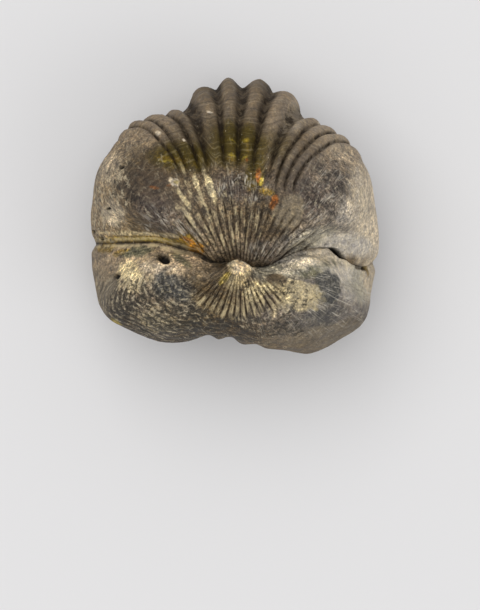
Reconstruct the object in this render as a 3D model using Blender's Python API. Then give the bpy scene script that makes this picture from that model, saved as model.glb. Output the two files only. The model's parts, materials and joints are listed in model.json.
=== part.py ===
"""A small globose brachiopod fossil lying on its front, with its beak up.

The two closed valves meet along the commissure, the line that runs round the shell.
Both share a hinge line along X through HINGE_Z. Every point of the outside lies on a
page, a half-plane that turns about the hinge line like the page of a book:
  page angle 0 points down to the front of the shell,
  positive angles belong to the brachial valve (+Y),
  negative angles belong to the pedicle valve (-Y).
On each page the shell has one rounded section, from the hinge out and back. A place
round that section is a share v: -1 and +1 at the hinge, 0 at the front.
Ribs follow lines of one rib number n from the umbo to the edge of the valve.
Lengths here are millimetres until the mesh is made.
"""

import math

import bmesh
import bpy
import numpy as np
from mathutils import Matrix

MM = 0.001

# ---------------------------------------------------------------- driving sizes (mm, degrees)
HINGE_Z = 17.0          # height of the hinge line, before the front is worn
GAP = 0.30              # clear line between the two valves
INNER_GAP = 0.42        # the same, measured along Y over the sloping face inside
WALL_GAP = 0.30         # the same, measured along X at the steep sides of the tongue
CENTRE = (-0.5, 3.2)    # middle of the outline seen along Z
REST_DEPTH = 0.28       # lowest height of the smooth body
WORN = 0.40             # how much of the front's ribs is worn flat, down to the resting plane

# Page angle, half width, reach from the hinge. Both valves, from one umbo to the other.
PAGES = (
    (-188, 0.0, 1.95), (-184, 0.45, 2.0), (-177, 0.78, 2.1), (-162, 1.4, 2.2),
    (-148, 2.3, 2.4), (-135, 3.2, 2.7), (-120, 4.4, 3.2), (-105, 5.7, 3.95), (-90, 7.0, 4.85), (-75, 8.2, 5.95),
    (-60, 9.3, 7.5), (-45, 10.1, 9.8), (-30, 10.5, 13.6), (-14, 10.7, 17.7),
    (0, 10.7, 17.9), (15, 10.9, 18.2), (30, 10.9, 17.5), (45, 10.7, 14.9),
    (60, 10.1, 12.3), (75, 9.2, 9.8), (90, 8.1, 7.6), (105, 6.8, 5.75),
    (120, 5.4, 4.15), (135, 3.9, 2.75), (148, 2.2, 1.50), (158, 0.0, 0.0),
)
BEAK_RISE = ((-188, 1.95), (-174, 1.45), (-158, 0.9), (-140, 0.35), (-120, 0.0))
SECTION_POWER = (0.95, 0.58)    # roundness of a page's section at the hinge and at the front

# Outline of the smooth body seen along Z: radius from CENTRE every 15 degrees, from +X.
OUTLINE = (
    10.6, 10.5, 10.2, 9.5, 8.85, 8.2, 8.0, 8.15, 8.8, 9.9, 10.35, 10.55,
    10.5, 10.9, 11.7, 11.3, 10.5, 9.35, 9.3, 10.4, 11.5, 12.1, 11.8, 11.1,
)

# Rise and fall of the commissure along X over the hinge side, (x, y).
COMMISSURE = (
    (-11.0, 1.5), (-8.3, 1.5), (-6.4, 1.5), (-4.9, 1.1), (-3.3, 0.3), (-1.7, -0.4),
    (0.0, -0.3), (2.0, -0.4), (3.6, 0.0), (4.5, 0.45), (5.4, 0.80), (6.2, 0.92), (6.9, 0.80),
    (7.5, 0.38), (8.2, -0.25), (9.1, -0.48), (10.5, -0.5),
)

# Fold of the brachial valve and sulcus of the pedicle valve: added reach per page angle.
FOLD = (
    (-75, 0.0), (-60, -0.15), (-45, -0.8), (-30, -2.8), (-15, -3.8), (-5, -2.3), (5, -0.6),
    (15, 0.2), (25, 1.3), (35, 2.1), (50, 2.1), (62, 1.7), (75, 0.9), (90, 0.15), (100, 0.0),
)
# Share v of the fold's middle, which wanders a little as the shell grew, per page angle.
FOLD_MIDDLE = ((-188, 0.007), (0, 0.007), (51, 0.005), (72, 0.0), (80, -0.004),
               (95, -0.0075), (125, 0.0), (158, 0.0))
TONGUE_ANGLE = 31.0     # page angle that the commissure climbs to under the fold
FLANK_ANGLE = -5.0      # page angle of the commissure beside the fold

# Rib number of each groove of the brachial valve and its share v from the fold's middle,
# at the front. Four ribs stand on the fold, between grooves -2 and 2.
GROOVES = ((-7, -0.385), (-6, -0.330), (-5, -0.276), (-4, -0.235), (-3, -0.175), (-2, -0.137),
           (-1, -0.062), (0, 0.0), (1, 0.0727), (2, 0.151), (3, 0.199), (4, 0.256),
           (5, 0.315), (6, 0.400))
LAST_SHARE = 0.975      # share v of the outermost column
# How widely the ribs stand at each page angle, against the front.
SPREAD = ((-188, 1.0), (-90, 0.95), (-45, 1.0), (0, 0.98), (35, 1.02), (50, 1.0), (60, 0.94),
          (70, 0.83), (80, 0.75), (90, 0.68), (98, 0.67), (112, 0.84), (125, 1.12),
          (136, 1.38), (148, 1.55), (158, 1.6))

HALT_ANGLE = 94.0       # page angle of the growth halt where the coarse ribs start
COARSE_RELIEF = 0.78    # crest over groove on the fold at the outline
FLANK_RELIEF = 0.42
FINE_RELIEF = 0.15
STEP_RELIEF = 0.12      # ledge left by the growth halt
NOTCH = 0.36            # how far the shell draws in at the commissure on the sides

# ---------------------------------------------------------------- mesh
SIDES_PER_RIB = 6
FLANK_SIDES = 10        # columns over each smooth flank
BRACHIAL_ROWS = 20
PEDICLE_ROWS = 20
RING_SHARES = (0.9, 0.68, 0.35)
MIDDLE = np.array([0.0, 0.3, HINGE_Z - 8.5])    # centre of the face between the valves

# name, linear colour, roughness, metallic
BRACHIAL_FINISH = ("grey-brown calcite shell", (0.150, 0.118, 0.086, 1.0), 0.62, 0.0)
PEDICLE_FINISH = ("pale weathered calcite shell", (0.215, 0.180, 0.128, 1.0), 0.68, 0.0)


def through(keys, x):
    """Smooth curve through (place, value) keys, with no overshoot beyond the key slopes."""
    places = np.array([k[0] for k in keys], dtype=float)
    values = np.array([k[1] for k in keys], dtype=float)
    slope = np.gradient(values, places)
    flat = np.diff(values)
    turning = np.zeros(len(values), dtype=bool)
    turning[1:-1] = flat[:-1] * flat[1:] <= 0
    slope[turning] = 0.0
    x = np.clip(x, places[0], places[-1])
    i = np.clip(np.searchsorted(places, x, side="right") - 1, 0, len(places) - 2)
    step = places[i + 1] - places[i]
    t = (x - places[i]) / step
    first = (1 + 2 * t) * (1 - t) ** 2 * values[i] + t * (1 - t) ** 2 * step * slope[i]
    second = t * t * (3 - 2 * t) * values[i + 1] - t * t * (1 - t) * step * slope[i + 1]
    return first + second


def ramp(x, low, high):
    """0 below low, 1 above high, smooth between."""
    t = np.clip((x - low) / (high - low), 0.0, 1.0)
    return t * t * (3 - 2 * t)


def off_middle(angle, v):
    """Share between a place and the middle of the fold and sulcus."""
    return np.abs(v - through(FOLD_MIDDLE, angle))


def fold_band(off):
    """1 on the fold and sulcus, 0 on the flanks."""
    return (1 - ramp(off, 0.045, 0.165)) * (1 - 0.10 * np.minimum(off / 0.13, 1.5) ** 2)


def page_point(angle, v):
    """Body point before it is fitted to the outline."""
    half_width = through([(p[0], p[1]) for p in PAGES], angle)
    reach = through([(p[0], p[2]) for p in PAGES], angle)
    beak = through(BEAK_RISE, angle)
    beta = math.pi * (1 - np.abs(v))
    across = np.sin(beta) * np.sign(v)
    share = (1 - np.cos(beta)) / 2
    out = share ** (SECTION_POWER[0] + (SECTION_POWER[1] - SECTION_POWER[0]) * share)
    x = half_width * across
    rho = beak + (reach - beak) * out
    turn = np.radians(angle)
    y = rho * np.sin(turn)
    z = HINGE_Z - rho * np.cos(turn)
    back = ramp(z, HINGE_Z - 12, HINGE_Z - 7)
    y = y + through(COMMISSURE, x) * np.exp(-((y / 3.0) ** 2)) * back
    return np.stack([x, y, z], axis=-1)


def raw_outline():
    """Outline radius of the unfitted body at each 15 degrees from CENTRE."""
    angle, v = np.meshgrid(np.linspace(-170, 155, 261), np.linspace(-1, 1, 401))
    p = page_point(angle, v)
    dx = p[..., 0] - CENTRE[0]
    dy = p[..., 1] - CENTRE[1]
    way = np.degrees(np.arctan2(dy, dx)) % 360
    radius = np.hypot(dx, dy)
    return np.array([radius[np.abs((way - a + 180) % 360 - 180) < 2.0].max()
                     for a in range(0, 360, 15)])


def round_curve(values, way):
    """Periodic smooth curve through values spaced evenly round the circle, way in degrees."""
    count = len(values)
    place = (way % 360) / 360 * count
    i = np.floor(place).astype(int)
    t = place - i
    a, b, c, d = (values[(i + k) % count] for k in (-1, 0, 1, 2))
    return b + 0.5 * t * (c - a + t * (2 * a - 5 * b + 4 * c - d + t * (3 * (b - c) + d - a)))


def body(angle, v, fit):
    """Smooth body: page point, fitted outline, fold and sulcus, wave of the commissure."""
    p = page_point(angle, v)
    rise = through(FOLD, angle) * fold_band(off_middle(angle, v))
    turn = np.radians(angle)
    dx = p[..., 0] - CENTRE[0]
    dy = p[..., 1] - CENTRE[1]
    scale = round_curve(fit, np.degrees(np.arctan2(dy, dx)))
    x = CENTRE[0] + dx * scale
    y = CENTRE[1] + dy * scale + rise * np.sin(turn)
    z = p[..., 2] - rise * np.cos(turn)
    z = REST_DEPTH + 0.5 * np.log1p(np.exp(np.clip((z - REST_DEPTH) / 0.5, -40, 40)))
    return np.stack([x, y, z], axis=-1)


def outward(angle, v, fit):
    """Outward unit normal of the smooth body."""
    e = 0.25
    along = body(angle + e, v, fit) - body(angle - e, v, fit)
    round_ = body(angle, v + 0.002, fit) - body(angle, v - 0.002, fit)
    n = np.cross(along, round_)
    return n / np.maximum(np.linalg.norm(n, axis=-1, keepdims=True), 1e-9)


def share_of(front, angle):
    """Share v, at a page angle, of the line of growth that has share front at the front."""
    end = np.where(front < 0, -GROOVES[0][1], GROOVES[-1][1])
    size = np.abs(front)
    wide = through(SPREAD, angle)
    outer = end * wide + (size - end) / (LAST_SHARE - end) * (LAST_SHARE - end * wide)
    v = np.where(size <= end, size * wide, outer) * np.sign(front)
    return v + through(FOLD_MIDDLE, angle) * (1 - size / LAST_SHARE)


def columns():
    """Share at the front, and rib number, of every column from left to right."""
    (first, left), (last, right) = GROOVES[0], GROOVES[-1]
    ribbed = np.linspace(first, last, (last - first) * SIDES_PER_RIB + 1)
    inner = np.interp(ribbed, *zip(*GROOVES))
    away = np.linspace(0, 1, FLANK_SIDES + 1)[1:]
    outer_left = (left - (LAST_SHARE + left) * away)[::-1]
    outer_right = right + (LAST_SHARE - right) * away
    front = np.concatenate([outer_left, inner, outer_right])
    plain = np.ones(FLANK_SIDES)
    return front, np.concatenate([first * plain, ribbed, last * plain])


def edge_angle(number, v):
    """Page angle of the commissure at a rib number and share v, with its zigzag."""
    off = off_middle(np.zeros(1), v)
    tongue = 1 - ramp(off, 0.085, 0.185)
    flank = FLANK_ANGLE * (1 - ramp(off, 0.30, 0.50))
    zigzag = -np.cos(2 * math.pi * number) * (1 - ramp(off, 0.26, 0.40))
    return flank + (TONGUE_ANGLE - flank) * tongue + 1.7 * zigzag


def rib_crest(number, angle, side):
    """0 in the grooves of the coarse ribs, 1 on their crests.

    side is +1 for the brachial valve and -1 for the pedicle valve, whose ribs stand
    where the other valve has its grooves. The two outer ribs of the fold lean inwards,
    and the ribs of the fold grow keener towards the front.
    """
    size = np.abs(number)
    outer = np.clip(size - 1, 0, 1)
    leaning = ramp(size, 0.98, 1.02) * (1 - ramp(size, 1.98, 2.02))
    turn = math.pi * (size + (outer ** 0.72 - outer) * leaning)
    keen = 0.85 + (1 - ramp(size, 1.9, 2.6)) * (0.30 + 0.65 * (1 - ramp(angle, 52, 80)))
    return np.abs(np.sin(turn) if side > 0 else np.cos(turn)) ** keen


def coarse_share(number, angle, side):
    """How far the coarse ribs have replaced the fine ones."""
    if side > 0:
        halt = HALT_ANGLE + 12 * ramp(number, 2.0, 3.2)
        return 1 - ramp(angle, halt - 16, halt + 6)
    beside = ramp(np.abs(number), 1.5, 3.0)
    return ramp(angle, -70 + 35 * beside, -25 + 15 * beside)


def fine_share(number, angle, root, side):
    """Where the fine ribs stand: over the brachial umbo, and round the pedicle beak."""
    if side > 0:
        return np.ones_like(root)
    beside = (1 - ramp(np.abs(number), 3.0, 5.0)) * (1 - ramp(root, 6.0, 9.0))
    return beside * (1 - ramp(np.abs(angle), 158, 182))


def relief(smooth, angle, v, number, side):
    """Ribs, costellae, the growth ledge and the seam, as height over the smooth body."""
    off = off_middle(angle, v)
    from_edge = np.linalg.norm(smooth - smooth[:1], axis=-1)
    root = np.linalg.norm(smooth - [0.0, 0.0, HINGE_Z], axis=-1)
    first, last = GROOVES[0][0], GROOVES[-1][0]
    ribbed = ramp(number, first, first + 2.5) * (1 - ramp(number, last - 1.0, last))
    coarse = coarse_share(number, angle, side)
    height = FLANK_RELIEF + (COARSE_RELIEF - FLANK_RELIEF) * (1 - ramp(off, 0.10, 0.17))
    corner = ramp(off, 0.10, 0.13) * (1 - ramp(off, 0.16, 0.20)) * (1 - ramp(angle, 25, 50))
    ending = ramp(from_edge, 0.0, 1.4) * (1 - 0.8 * corner)
    coarse_rib = (rib_crest(number, angle, side) - 0.35) * coarse * height * ending
    fine_rib = (np.abs(np.sin(2 * math.pi * number)) - 0.35) * (1 - coarse) * FINE_RELIEF
    fine_rib = fine_rib * fine_share(number, angle, root, side)
    ledge = STEP_RELIEF * (1 - ramp(angle, HALT_ANGLE - 5, HALT_ANGLE)) if side > 0 else 0.0
    up = ramp(smooth[..., 2], HINGE_Z - 9, HINGE_Z - 5)
    shallow = 1 - 0.75 * ramp(smooth[..., 0], 1.5, 4.0) * up
    seam = NOTCH * np.exp(-((from_edge / 0.7) ** 2)) * ramp(off, 0.35, 0.5) * shallow
    return ((coarse_rib + fine_rib + ledge) * ribbed - seam) * ramp(root, 1.2, 3.4)


def edge_line(fit):
    """Commissure: share v, page angle and place of every column."""
    front, number = columns()
    v = share_of(front, np.zeros(len(front)))
    angle = edge_angle(number, v)
    for _ in range(2):
        v = share_of(front, angle)
    return v, angle, body(angle, v, fit)


def edge_of(side, fit):
    """Page angle of one valve's edge, half the gap from the commissure."""
    _, angle, line = edge_line(fit)
    step = np.gradient(line, axis=0)
    level = np.hypot(step[:, 0], step[:, 2]) / np.maximum(np.linalg.norm(step, axis=1), 1e-6)
    reach = np.linalg.norm((line - [0, 0, HINGE_Z])[:, 1:], axis=1)
    return angle + side * np.degrees(GAP / 2 / np.maximum(reach, 0.9) / np.maximum(level, 0.3))


def parted(points, side):
    """Points with the two valves drawn apart round the hinge."""
    root = np.linalg.norm(points - [0.0, 0.0, HINGE_Z], axis=-1)
    away = side * GAP / 2 * np.exp(-((root / 1.2) ** 2))
    return points + np.stack([0 * away, away, 0 * away], axis=-1)


def valve_grid(side, rows, fit):
    """Outer surface of one valve: rows from the commissure to the umbo, and its columns."""
    pole = PAGES[-1][0] if side > 0 else PAGES[0][0]
    front, number = columns()
    edge = edge_of(side, fit)
    share = np.linspace(0, 1, rows + 1)[:-1] * 0.985
    angles = edge[None, :] + (pole - edge[None, :]) * share[:, None]
    v = share_of(front[None, :], angles)
    smooth = body(angles, v, fit)
    lift = relief(smooth, angles, v, np.repeat(number[None, :], rows, axis=0), side)
    points = smooth + outward(angles, v, fit) * lift[..., None]
    seam = body(angles[:, :1], np.ones((rows, 1)), fit)
    points = parted(np.concatenate([seam, points], axis=1), side)
    return points


def inner_face(side, fit):
    """Rings of the face that closes a valve, from its edge inwards, and its centre."""
    v, _, line = edge_line(fit)
    off = off_middle(np.zeros(1), v)
    wall = np.sign(v) * ramp(off, 0.07, 0.11) * (1 - ramp(off, 0.17, 0.21))
    wall = np.concatenate([[0.0], wall])
    line = np.concatenate([body(np.zeros(1), np.ones(1), fit), line])
    rings = []
    for s in RING_SHARES:
        ring = MIDDLE + (line - MIDDLE) * s
        ring[:, 0] += side * WALL_GAP / 2 * wall
        ring[:, 1] = MIDDLE[1] + (line[:, 1] - MIDDLE[1]) * s ** 3 + side * INNER_GAP / 2
        rings.append(ring)
    return rings, MIDDLE + [0.0, side * INNER_GAP / 2, 0.0]


def stitch(bm, lower, upper, shortest):
    """Triangles between two rows of vertices, cut along each quad's shorter way if asked."""
    for a, b, c, d in zip(lower[:-1], lower[1:], upper[1:], upper[:-1]):
        swap = shortest and (b.co - d.co).length < (a.co - c.co).length
        for three in ((a, b, d), (b, c, d)) if swap else ((a, b, c), (a, c, d)):
            if len(set(three)) == 3:
                bm.faces.new(three)


def fan(bm, row, tip):
    """Triangles from a row of vertices to one vertex."""
    for a, b in zip(row[:-1], row[1:]):
        if tip not in (a, b):
            bm.faces.new((a, b, tip))


def valve_mesh(name, points, rings, middle, tip):
    """One closed valve as a mesh, in metres, with its front worn flat at the resting plane."""
    bm = bmesh.new()

    def vertex(p):
        return bm.verts.new([p[0] * MM, p[1] * MM, max(p[2] - WORN, 0.0) * MM])

    def closed_row(row):
        verts = [vertex(p) for p in row]
        return verts + verts[:1]

    rows = [closed_row(row) for row in points]
    for lower, upper in zip(rows[:-1], rows[1:]):
        stitch(bm, lower, upper, True)
    fan(bm, rows[-1], vertex(tip))
    lower = rows[0]
    for ring in rings:
        inner = closed_row(ring)
        stitch(bm, inner, lower, False)
        lower = inner
    fan(bm, lower[::-1], vertex(middle))
    bmesh.ops.remove_doubles(bm, verts=bm.verts, dist=5e-6)
    bmesh.ops.dissolve_degenerate(bm, dist=2e-6, edges=bm.edges)
    bmesh.ops.triangulate(bm, faces=bm.faces)
    bmesh.ops.recalc_face_normals(bm, faces=bm.faces)
    for face in bm.faces:
        face.smooth = True
    mesh = bpy.data.meshes.new(name)
    bm.to_mesh(mesh)
    bm.free()
    return mesh


def finish(name, colour, roughness, metallic):
    """Plain material of one valve."""
    material = bpy.data.materials.new(name)
    material.use_nodes = True
    shader = material.node_tree.nodes["Principled BSDF"]
    shader.inputs["Base Color"].default_value = colour
    shader.inputs["Roughness"].default_value = roughness
    shader.inputs["Metallic"].default_value = metallic
    return material


def build_valve(name, side, rows, fit, look):
    """Makes one valve and links it to the scene."""
    points = valve_grid(side, rows, fit)
    pole = PAGES[-1][0] if side > 0 else PAGES[0][0]
    tip = parted(body(np.array([float(pole)]), np.array([0.0]), fit), side)[0]
    rings, middle = inner_face(side, fit)
    mesh = valve_mesh(name, points, rings, middle, tip)
    mesh.materials.append(finish(*look))
    valve = bpy.data.objects.new(name, mesh)
    bpy.context.scene.collection.objects.link(valve)
    return valve


def centre(valves):
    """Moves the valves so that the origin is under the middle of their outline."""
    places = np.array([vertex.co[:] for valve in valves for vertex in valve.data.vertices])
    middle = (places.min(axis=0) + places.max(axis=0)) / 2
    for valve in valves:
        valve.data.transform(Matrix.Translation((-middle[0], -middle[1], 0.0)))


def main():
    """Builds both valves."""
    for old in list(bpy.data.objects):
        bpy.data.objects.remove(old, do_unlink=True)
    fit = np.array(OUTLINE) / raw_outline()
    brachial = build_valve("brachial_valve", 1, BRACHIAL_ROWS, fit, BRACHIAL_FINISH)
    pedicle = build_valve("pedicle_valve", -1, PEDICLE_ROWS, fit, PEDICLE_FINISH)
    centre([brachial, pedicle])


main()
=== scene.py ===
"""A small globose brachiopod fossil lying on its front, with its beak up.

The two closed valves meet along the commissure, the line that runs round the shell.
Both share a hinge line along X. Every point of the outside lies on a page, a half-plane
that turns about the hinge line like the page of a book:
  page angle 0 points down to the front of the shell,
  positive angles belong to the brachial valve (+Y),
  negative angles belong to the pedicle valve (-Y).
On each page the shell has one rounded section, from the hinge out and back. A place round
that section is a share v: -1 and +1 at the hinge, 0 at the front. Ribs follow lines of one
rib number from the umbo to the edge of the valve.

Sizes are millimetres, measured from the hinge point, until a mesh is made.
"""

from __future__ import annotations

import json
import logging
import math
from dataclasses import dataclass
from enum import Enum
from typing import Sequence

import bpy
import numpy as np
from mathutils import Matrix, Vector

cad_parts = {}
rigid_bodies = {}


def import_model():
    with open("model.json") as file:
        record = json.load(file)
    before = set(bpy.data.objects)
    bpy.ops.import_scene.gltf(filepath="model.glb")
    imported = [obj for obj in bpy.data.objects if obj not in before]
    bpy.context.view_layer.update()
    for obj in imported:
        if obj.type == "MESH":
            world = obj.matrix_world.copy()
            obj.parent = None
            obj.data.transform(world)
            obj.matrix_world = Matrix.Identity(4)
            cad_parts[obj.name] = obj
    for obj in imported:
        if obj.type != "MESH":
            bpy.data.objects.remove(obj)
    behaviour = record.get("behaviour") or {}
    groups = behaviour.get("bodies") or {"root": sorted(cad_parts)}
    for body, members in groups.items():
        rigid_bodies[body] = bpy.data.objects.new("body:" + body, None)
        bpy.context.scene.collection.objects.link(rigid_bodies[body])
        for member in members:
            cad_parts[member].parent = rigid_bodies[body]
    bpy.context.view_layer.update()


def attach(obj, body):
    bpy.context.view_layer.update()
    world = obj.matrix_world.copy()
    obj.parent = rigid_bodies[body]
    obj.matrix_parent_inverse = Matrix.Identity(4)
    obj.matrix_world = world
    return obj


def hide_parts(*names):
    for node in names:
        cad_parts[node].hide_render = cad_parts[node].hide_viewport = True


LOG = logging.getLogger("brachiopod")
MM = 0.001                                # metres in a millimetre
PER_METRE = 1000.0                        # millimetres in a metre
HINGE_POINT = np.array([0.402, -3.381])   # place of the hinge point on the resting plane
Keys = Sequence[tuple[float, float]]
Colour = tuple[float, float, float]


# ------------------------------------------------------------------ curves and noise
def through(keys: Keys, x: np.ndarray | float) -> np.ndarray:
    """Smooth curve through (place, value) keys, flat where the values turn.

    Args:
        keys: places in rising order, each with its value.
        x: where the curve is read.

    Returns:
        The curve's values.
    """
    places = np.array([k[0] for k in keys], dtype=float)
    values = np.array([k[1] for k in keys], dtype=float)
    slope = np.gradient(values, places)
    change = np.diff(values)
    turning = np.zeros(len(values), dtype=bool)
    turning[1:-1] = change[:-1] * change[1:] <= 0
    slope[turning] = 0.0
    x = np.clip(x, places[0], places[-1])
    i = np.clip(np.searchsorted(places, x, side="right") - 1, 0, len(places) - 2)
    step = places[i + 1] - places[i]
    t = (x - places[i]) / step
    first = (1 + 2 * t) * (1 - t) ** 2 * values[i] + t * (1 - t) ** 2 * step * slope[i]
    second = t * t * (3 - 2 * t) * values[i + 1] - t * t * (1 - t) * step * slope[i + 1]
    return first + second


def ramp(x: np.ndarray | float, low: float, high: float) -> np.ndarray:
    """0 below low, 1 above high, smooth between."""
    t = np.clip((x - low) / (high - low), 0.0, 1.0)
    return t * t * (3 - 2 * t)


def lattice(i: np.ndarray, seed: int) -> np.ndarray:
    """Repeatable number from 0 to 1 for each whole-number place.

    Args:
        i: whole numbers, (..., 3).
        seed: picks one of many patterns.

    Returns:
        One number for each place.
    """
    h = (i[..., 0] * 374761393 + i[..., 1] * 668265263 + i[..., 2] * 2147483647 + seed * 1274126177)
    h = h & 0xFFFFFFFF
    h = ((h ^ (h >> 13)) * 1274126177) & 0xFFFFFFFF
    h = ((h ^ (h >> 16)) * 2246822519) & 0xFFFFFFFF
    return ((h ^ (h >> 15)) & 0xFFFF) / 65535.0


def noise(places: np.ndarray, size: float, seed: int) -> np.ndarray:
    """Smooth noise from -1 to 1 with lumps of one size.

    Args:
        places: points, (..., 3).
        size: distance between lumps.
        seed: picks one of many patterns.

    Returns:
        The noise at each point.
    """
    p = places / size
    i = np.floor(p).astype(np.int64)
    t = p - i
    t = t * t * (3 - 2 * t)
    total = np.zeros(p.shape[:-1])
    for corner in range(8):
        bits = np.array([corner & 1, (corner >> 1) & 1, (corner >> 2) & 1])
        weight = np.prod(np.where(bits == 1, t, 1 - t), axis=-1)
        total += weight * lattice(i + bits, seed)
    return total * 2 - 1


def rough(places: np.ndarray, size: float, seed: int, octaves: int = 3) -> np.ndarray:
    """Noise with finer noise on it, from about -1 to 1.

    Args:
        places: points, (..., 3).
        size: distance between the largest lumps.
        seed: picks one of many patterns.
        octaves: how many sizes of lump there are.

    Returns:
        The noise at each point.
    """
    total = np.zeros(places.shape[:-1])
    for k in range(octaves):
        total += noise(places, size / 2 ** k, seed + 17 * k) / 2 ** k
    return total / (2 - 2.0 ** (1 - octaves))


# ------------------------------------------------------------------ the shell's form
class Side(Enum):
    """The two valves: the sign says on which side of the hinge their pages lie."""

    BRACHIAL = 1
    PEDICLE = -1


@dataclass(frozen=True)
class ShellForm:
    """The smooth body of the closed shell, and where its ribs and its commissure run."""

    hinge_z: float = 17.0
    centre: tuple[float, float] = (-0.5, 3.2)
    rest_depth: float = 0.28
    worn: float = 0.40
    pages: tuple[tuple[float, float, float], ...] = (
        (-188, 0.0, 1.95), (-184, 0.45, 2.0), (-177, 0.78, 2.1), (-162, 1.4, 2.2),
        (-148, 2.3, 2.4),
        (-135, 3.2, 2.7), (-120, 4.4, 3.2), (-105, 5.7, 3.95), (-90, 7.0, 4.85),
        (-75, 8.2, 5.95), (-60, 9.3, 7.5), (-45, 10.1, 9.8), (-30, 10.5, 13.6),
        (-14, 10.7, 17.7), (0, 10.7, 17.9), (15, 10.9, 18.2), (30, 10.9, 17.5),
        (45, 10.7, 14.9), (60, 10.1, 12.3), (75, 9.2, 9.8), (90, 8.1, 7.6),
        (105, 6.8, 5.75), (120, 5.4, 4.15), (135, 3.9, 2.75), (148, 2.2, 1.50),
        (158, 0.0, 0.0),
    )
    beak_rise: Keys = ((-188, 1.95), (-174, 1.45), (-158, 0.9), (-140, 0.35), (-120, 0.0))
    section_power: tuple[float, float] = (0.95, 0.58)
    outline: tuple[float, ...] = (
        10.6, 10.5, 10.2, 9.5, 8.85, 8.2, 8.0, 8.15, 8.8, 9.9, 10.35, 10.55,
        10.5, 10.9, 11.7, 11.3, 10.5, 9.35, 9.3, 10.4, 11.5, 12.1, 11.8, 11.1,
    )
    commissure: Keys = (
        (-11.0, 1.5), (-8.3, 1.5), (-6.4, 1.5), (-4.9, 1.1), (-3.3, 0.3), (-1.7, -0.4),
        (0.0, -0.3), (2.0, -0.4), (3.6, 0.0), (4.5, 0.45), (5.4, 0.80), (6.3, 0.95),
        (7.1, 0.93), (7.65, 0.72), (8.0, 0.40), (8.25, 0.08), (8.7, -0.32), (9.3, -0.48),
        (10.5, -0.5),
    )
    fold: Keys = (
        (-75, 0.0), (-60, -0.15), (-45, -0.8), (-30, -2.8), (-15, -3.8), (-5, -2.3),
        (5, -0.6), (15, 0.2), (25, 1.3), (35, 2.3), (50, 2.3), (62, 1.9), (75, 1.0),
        (90, 0.15), (100, 0.0),
    )
    fold_middle: Keys = ((-188, 0.007), (0, 0.007), (51, 0.005), (72, 0.0), (80, -0.004),
                         (95, -0.0075), (125, 0.0), (158, 0.0))
    fold_shoulder: tuple[float, float] = (0.045, 0.165)
    tongue_angle: float = 31.0
    tongue_edge: tuple[float, float] = (0.085, 0.185)
    flank_angle: float = -5.0
    flank_edge: tuple[float, float] = (0.30, 0.50)
    zigzag_angle: float = 1.7
    zigzag_edge: tuple[float, float] = (0.26, 0.40)
    rest_ease: float = 0.5
    grooves: Keys = (
        (-7, -0.385), (-6, -0.330), (-5, -0.276), (-4, -0.235), (-3, -0.175), (-2, -0.137),
        (-1, -0.062), (0, 0.0), (1, 0.0727), (2, 0.151), (3, 0.199), (4, 0.256), (5, 0.315),
        (6, 0.400),
    )
    last_share: float = 0.975
    spread: Keys = (
        (-188, 1.0), (-90, 0.95), (-45, 1.0), (0, 0.98), (35, 1.02), (50, 1.0), (60, 0.94),
        (70, 0.83), (80, 0.75), (90, 0.68), (98, 0.67), (112, 0.84), (125, 1.12),
        (136, 1.38), (148, 1.55), (158, 1.6),
    )

    def page_point(self, angle: np.ndarray, v: np.ndarray) -> np.ndarray:
        """Body point before it is fitted to the outline.

        Args:
            angle: page angles in degrees.
            v: shares round the page's section.

        Returns:
            Points, (..., 3).
        """
        half_width = through([(p[0], p[1]) for p in self.pages], angle)
        reach = through([(p[0], p[2]) for p in self.pages], angle)
        beak = through(self.beak_rise, angle)
        beta = math.pi * (1 - np.abs(v))
        share = (1 - np.cos(beta)) / 2
        low, high = self.section_power
        out = share ** (low + (high - low) * share)
        x = half_width * np.sin(beta) * np.sign(v)
        rho = beak + (reach - beak) * out
        turn = np.radians(angle)
        y = rho * np.sin(turn)
        z = self.hinge_z - rho * np.cos(turn)
        left = ramp(-x, 4.0, 7.0)
        back = ramp(z, self.hinge_z - 12 - 3.5 * left, self.hinge_z - 7 - 4 * left)
        y = y + through(self.commissure, x) * np.exp(-((y / 3.0) ** 2)) * back
        return np.stack([x, y, z], axis=-1)

    def outline_fit(self) -> np.ndarray:
        """How much the body is drawn out to reach the outline, every 15 degrees."""
        angle, v = np.meshgrid(np.linspace(-170, 155, 261), np.linspace(-1, 1, 401))
        p = self.page_point(angle, v)
        dx = p[..., 0] - self.centre[0]
        dy = p[..., 1] - self.centre[1]
        way = np.degrees(np.arctan2(dy, dx)) % 360
        radius = np.hypot(dx, dy)
        raw = [radius[np.abs((way - a + 180) % 360 - 180) < 2.0].max()
               for a in range(0, 360, 15)]
        return np.array(self.outline) / np.array(raw)

    def off_middle(self, angle: np.ndarray, v: np.ndarray) -> np.ndarray:
        """Share between a place and the middle of the fold and sulcus."""
        return np.abs(v - through(self.fold_middle, angle))

    def fold_band(self, off: np.ndarray) -> np.ndarray:
        """1 on the fold and sulcus, 0 on the flanks."""
        return (1 - ramp(off, *self.fold_shoulder)) * (1 - 0.04 * np.minimum(off / 0.13, 1.5) ** 2)

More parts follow.
